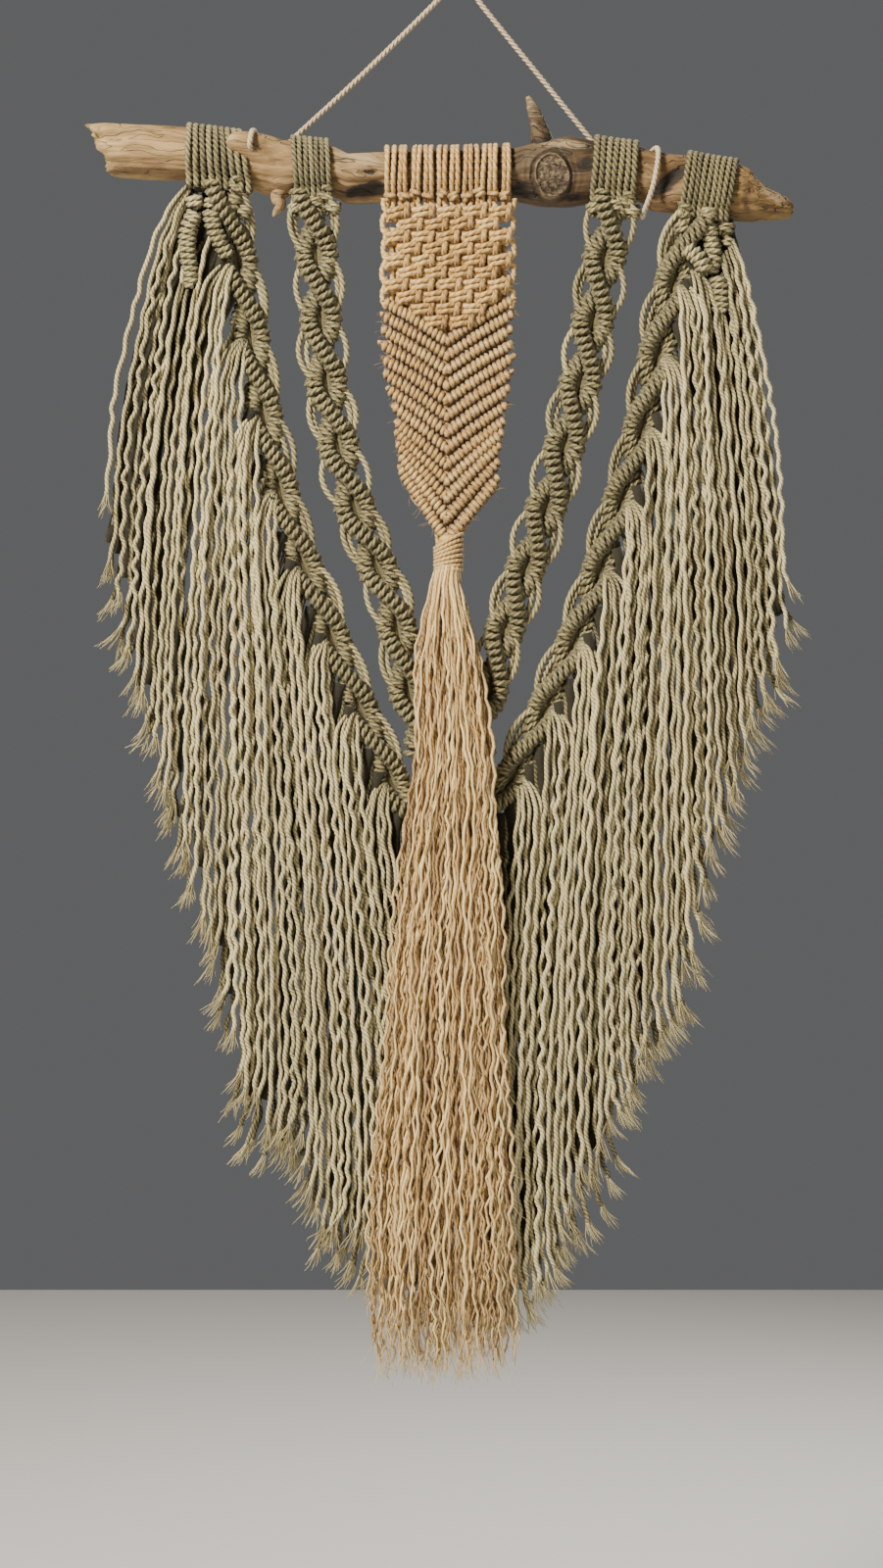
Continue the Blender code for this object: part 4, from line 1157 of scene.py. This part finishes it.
def latticeKnots(rng):
    # rows of square knots, every second one moved half a knot; a knot stays while it clears the
    # first bar: drop < firstBar - slope |across - middle| - clearance
    rows = panel["firstRow"] + np.arange(panel["rows"]) * panel["rowPitch"]
    odd = np.arange(panel["rows"]) % 2
    left, right = panelSides(rows)
    k = np.arange(panel["across"])
    across = left[:, None] + (k + 0.5 + 0.5 * odd[:, None]) * ((right - left) / len(k))[:, None]
    drops = np.broadcast_to(rows[:, None], across.shape)
    firstBar, slope = panel["bars"][0][1:3]
    above = firstBar - slope * abs(across - panel["middle"]) - panel["clearance"]
    keep = (drops < above) & (k < len(k) - odd[:, None])
    count = keep.sum()
    centres = np.column_stack((across[keep], drops[keep], np.full(count, panel["depth"])))
    centres[:, :2] += rng.normal(0, 0.45, (count, 2))
    parts = []
    tilt = rng.normal(0, 0.07, (count, 1, 1))
    for name, steps, mirror in (("front", 40, 1), ("back", 50, 1), ("filler", 8, 1),
                                ("filler", 8, -1)):
        cell = smoothLine(squareKnot[name], steps) * (mirror * 1.04, -1, 0.9)
        cell = np.broadcast_to(cell, (count,) + cell.shape)
        cell = cell + tilt * cell[..., [1, 0, 2]] * (-1, 1, 0)      # turned a little
        cell = cell * rng.uniform(0.94, 1.06, (count, 1, 1))
        radial = unit(inFrame(cell * (1, 0, 1) + (0, 0, 1e-6)))
        parts.append(skinCords(inFrame(cell + centres[:, None]), 0.5 * panel["knotWidth"] * mm,
                               radial if name != "filler" else backward, panel["twist"] * mm,
                               lobe=0.09, shade=rng.uniform(*panel["knotShades"], count)))
    return parts, rows[odd == 0]


def edgeCords(rows, rng):
    # the outermost cord runs down each side, drawn in where a knot of the wider rows holds it:
    # across = edge + 1.2 - 3 sum of exp(-((drop - row) / 3.2)^2), with a slight wave
    parts = []
    drop = np.linspace(178, 262, 60)
    pull = np.exp(-((drop[:, None] - rows) / 3.2) ** 2).sum(axis=1)
    for side, edge in zip((-1, 1), panelSides(drop)):
        out = 1.2 - 3.0 * pull + 0.5 * np.sin(drop / 7 + side)
        line = np.column_stack((edge + side * out, drop, panel["depth"] + 0.6 - 0.8 * pull))
        parts.append(layCords(line, 0.5 * panel["width"], panel["twist"], sides=8, lobe=0.16,
                              shade=rng.uniform(0.5, 0.9)))
    return parts


def chevron(rng):
    # bars of wrapped cord: drop = middle - slope |across - middle|, from the middle to the edge,
    # each as thick as the room that it has; its end turns up in a small knob, and the lowest
    # ones come forward by 7 e^2 onto the gathered neck
    parts = []
    rows = np.arange(panel["bars"][-1][0] + 1)
    centres, leftSlope, rightSlope = tableAt(rows, panel["bars"])
    spacing = np.gradient(centres)
    neckTop, neckLength, forward = panel["neck"]
    for row, centre in enumerate(centres):
        for side, slope in ((-1, leftSlope[row]), (1, rightSlope[row])):
            half = 0.5 * spacing[row] * math.cos(math.atan(slope)) + 0.1
            # the last left bar reaches in under the gathering wrap
            tuck = panel["tuck"] if side < 0 and row == rows[-1] else 0.0
            reach = np.linspace(-1.8 * slope - tuck, 62, 240)
            across = panel["middle"] + side * reach
            drop = centre - slope * reach - 1.5 * np.sin(reach / 50 * math.pi)
            edge = tableAt(drop, panel["barEnds"])[(side + 1) // 2]
            inside = (edge + side * rng.uniform(-0.6, 1.6) - across) * side > 0
            stop = max(int(np.argmin(inside)) if not inside.all() else len(inside), 12)
            line = np.column_stack((across, drop, np.full(len(drop), panel["depth"])))[:stop]
            line[:, 2] += 0.8 * np.sin(row * 1.7 + line[:, 0] / 17) + (0.7 if side < 0 else 0.0)
            line[:, 2] -= forward * np.clip((line[:, 1] - neckTop) / neckLength, 0, 1) ** 2
            near = reach[:stop] - reach[0]
            far = reach[:stop][::-1] - reach[0]
            line[:, 1] -= 2.2 * np.exp(-far / 3)
            taper = np.clip(0.55 + far / 9, 0.55, 1) * (1 - 0.22 * np.exp(-near / 2))
            deep = panel["barDepth"] * (0.6 + 0.4 * taper)
            parts.append(woundCord(line, side * half * taper, deep,
                                   panel["wrapPitch"] * rng.uniform(0.96, 1.05), rng,
                                   width=panel["width"], perTurn=13, phase=rng.uniform(0, 1),
                                   uneven=0.06, shade=rng.uniform(*panel["barShades"]),
                                   darker=panel["barEdgeShade"]))
            parts.append(layCords(smoothLine(line[::8], 14), 2.6, 20, shade=0.1))
    return parts


def panelBacking(rng):
    # upright cords behind the knots, so that no stick or air shows between the bars
    count, inset = panel["backing"], panel["backingInset"]
    share = (np.arange(count)[:, None] + 0.5) / count
    drop = np.linspace(*panel["backingDrops"], 32)
    left, right = panelSides(drop)
    across = left + inset + (right - left - 2 * inset) * share
    across = across + 0.5 * np.sin(drop / 9 + 11 * share)
    layer = 0.45 * (3 * np.arange(count)[:, None] % 5)       # no two neighbours lie level
    deep = panel["depth"] + panel["backingBack"] + layer + 0 * across
    paths = np.stack((across, drop + 0 * across, deep), axis=-1)
    return layCords(paths, 0.5 * panel["width"], panel["twist"],
                    shade=rng.uniform(0.0, 0.35, count))


def neckCords(rng):
    # cords that run in from behind the last bars to the gathering wrap
    parts = []
    for k in np.arange(panel["neckCords"]) - 0.5 * (panel["neckCords"] - 1):
        line = [(across + spacing * k, drop, panel["depth"] + back - forward * abs(k))
                for across, spacing, drop, back, forward in panel["neckLine"]]
        parts.append(layCords(smoothLine(line, 16), 2.0, 8, sides=8, lobe=0.16,
                              shade=rng.uniform(0.2, 0.7)))
    return parts


def headingKnobs(rng):
    # small knobs in a row under the panel's heading
    parts = []
    count, drop = panel["knobs"], panel["knobDrop"]
    halfWidth, halfDepth = panel["knobHalf"]
    t = np.linspace(-1, 1, 7)[:, None]
    left, right = panelSides(176)
    for k in range(count):
        across = left + (k + 0.5) * (right - left) / count + rng.normal(0, 0.8)
        line = np.array((across, drop + rng.normal(0, 1.3), panel["depth"] - 0.4))
        line = line + t * (rng.normal(0, 0.8), panel["knobReach"], 0)
        parts.append(woundCord(line, halfWidth - panel["knobRound"] * t[:, 0] ** 2, halfDepth,
                               panel["knobPitch"], rng, width=panel["knobCord"]))
    return parts


def hairs(starts, ways, lengths, rng, width, wander):
    # stray fibres: start + way s + two curls that grow along the fibre
    count = len(starts)
    s = np.linspace(0, 1, 7)[None, :, None]
    path = starts[:, None] + ways[:, None] * lengths[:, None, None] * s
    for turns in (1.3, 2.6):
        swing = rng.normal(0, wander / turns, (count, 1, 3)) * (1, 1, 0.4)
        path = path + swing * np.sin(turns * math.pi * s + rng.uniform(0, 6, (count, 1, 1))) * s
    size = 0.5 * width * np.array((1, 1, 1, 1, 0.95, 0.8, 0.4))
    return skinCords(inFrame(path), size[None] * mm, (0.5, 0.7, 0.5), 6 * mm, sides=3,
                     shade=rng.uniform(0.6, 1.0, count), ply=0.0)


def edgeHairs(rng):
    count = panel["hairs"]
    drop = rng.uniform(190, 438, count)
    side = np.where(rng.random(count) < 0.5, -1.0, 1.0)
    edges = np.where(side < 0, *panelSides(drop))
    starts = np.column_stack((edges - side * 5, drop, np.full(count, panel["depth"])))
    ways = unit(np.column_stack((side * rng.uniform(0.3, 1, count), rng.normal(0, 0.8, count),
                                 rng.normal(0, 0.4, count))))
    return hairs(starts, ways, rng.uniform(6, 13, count), rng, 0.17, 1.6)


def makePanel():
    rng = np.random.default_rng(71)
    knots, wideRows = latticeKnots(rng)
    parts = headingCords("centre_panel", rng) + knots + edgeCords(wideRows, rng) + chevron(rng)
    parts += [panelBacking(rng)] + neckCords(rng) + headingKnobs(rng) + [edgeHairs(rng)]
    layMesh("centre_panel_knots", "centre_panel", parts, juteCord)


makePanel()
print("centre panel knotted")

# Gathering wrap and tassel

tassel = {
    "depth": -46.5, "halfDepth": 8.2, "strands": 165, "step": 7.4, "top": 458.0, "bottom": 1074.0,
    "wrapMiddle": -8.5, "wrapTop": 437.0, "wrapBottom": 463.0, "wrapHalf": (11.5, 8.6),
    "wrapTurns": 8.0, "wrapLean": (7.5, 1.2), "wrapCord": 3.15, "wave": 24.0, "waveSize": 1.3,
    "core": [(-9, 436, -45.5), (-8.5, 444, -46), (-8.5, 466, -46.5)], "coreHalf": (6.6, 8.0),
    "shades": (-0.4, 1.5), "frays": 3, "strays": 420,
    "edges": [(455, -17, 0), (470, -21, 0), (526, -33, 16), (609, -35, 27), (669, -44, 31),
              (774, -55, 35), (849, -61, 38), (961, -70, 42), (1040, -72, 46), (1074, -66, 42)],
}


def tasselPaths(rng):
    # Strand k stands at r = sqrt((k + 0.5) / n), a = 2.4 k, in an ellipse that follows the outline;
    # its crimp is size sin(2 pi d / wave), larger towards the end.
    count, top, bottom = tassel["strands"], tassel["top"], tassel["bottom"]
    k = np.arange(count)
    r, a = np.sqrt((k + 0.5) / count), k * 2.39996
    low = bottom - np.where(rng.random(count) < 0.7, rng.uniform(10, 44, count),
                            rng.uniform(40, 120, count))
    share = np.linspace(0, 1, int((bottom - top) / tassel["step"]))[None]
    drop = top + share * (low - top)[:, None]
    left, right = tableAt(drop, tassel["edges"])
    across = 0.5 * (left + right) + 0.5 * (right - left) * (r * np.cos(a))[:, None]
    deep = tassel["depth"] + tassel["halfDepth"] * (r * np.sin(a))[:, None]
    down = drop - top

    def each(low, high):
        return rng.uniform(low, high, (count, 1))

    slow = 2 * math.pi * down / each(110, 260) + each(0, 7)
    turn = (2 * math.pi * down / (tassel["wave"] * each(0.75, 1.35)) + 1.1 * np.sin(slow)
            + each(0, 7))
    grown = 1 - np.exp(-down / 35)
    size = tassel["waveSize"] * each(0.5, 1.4) * grown * (0.8 + 0.5 * share)
    across = across + size * np.sin(turn) + 1.8 * np.sin(slow) * grown
    deep = deep + 0.8 * size * np.cos(turn) + 0.7 * np.sin(slow * 1.3) * grown
    return np.stack((across, drop, deep), axis=-1)


def gatheringWrap(rng):
    # a cord wound round the neck, its turns slanting, over a plain core
    line = np.linspace((tassel["wrapMiddle"], tassel["wrapTop"], tassel["depth"]),
                       (tassel["wrapMiddle"], tassel["wrapBottom"], tassel["depth"]), 30)
    halfWidth, halfDepth = tassel["wrapHalf"]
    width = tassel["wrapCord"]
    lean = np.column_stack((0 * line[:, 0] + halfWidth,
                            -np.linspace(*tassel["wrapLean"], len(line)), 0 * line[:, 0]))
    path, facing, edge = windBetween(line + lean, line - lean, tassel["wrapTurns"],
                                     halfDepth - 1.5, width, rng, 40, uneven=0.02)
    # painted darker where the turns go over the neck's edges, as shade
    wrap = skinCords(path, 0.5 * width * mm, facing, 7 * mm, lobe=0.12,
                     shade=(0.5 - 0.3 * edge)[None])
    core = np.linspace(*tassel["coreHalf"], 12)[None]
    return [wrap, plainCords(smoothLine(tassel["core"], 12), core, 0.1, sides=14)]


def makeTassel():
    rng = np.random.default_rng(83)
    parts = gatheringWrap(rng)
    paths = tasselPaths(rng)
    count = len(paths)
    slim = np.interp(np.linspace(0, 1, paths.shape[1]), (0, 0.9, 1), (1, 1, 0.55))
    parts.append(layCords(paths, rng.uniform(0.85, 1.35, (count, 1)) * slim, 9, sides=4,
                          shade=rng.uniform(*tassel["shades"], count), ply=0.7))
    each = tassel["frays"]
    many = count * each
    starts = np.repeat(paths[:, -1], each, axis=0) + rng.normal(0, 0.5, (many, 3)) * (1, 0, 1)
    ways = unit(np.column_stack((rng.normal(0, 0.25, many), np.ones(many),
                                 rng.normal(0, 0.10, many))))
    parts.append(hairs(starts - (0, 2, 0), ways, rng.uniform(9, 26, many), rng, 0.6, 2.0))
    few = tassel["strays"]
    starts = paths[rng.integers(0, count, few), rng.integers(4, paths.shape[1] - 2, few)]
    ways = unit(np.column_stack((rng.normal(0, 0.6, few), np.full(few, 0.9),
                                 rng.normal(0, 0.12, few))))
    parts.append(hairs(starts, ways, rng.uniform(10, 34, few), rng, 0.26, 3.2))
    layMesh("tassel_strands", "tassel", parts, juteStrands)


makeTassel()
print("tassel hung")
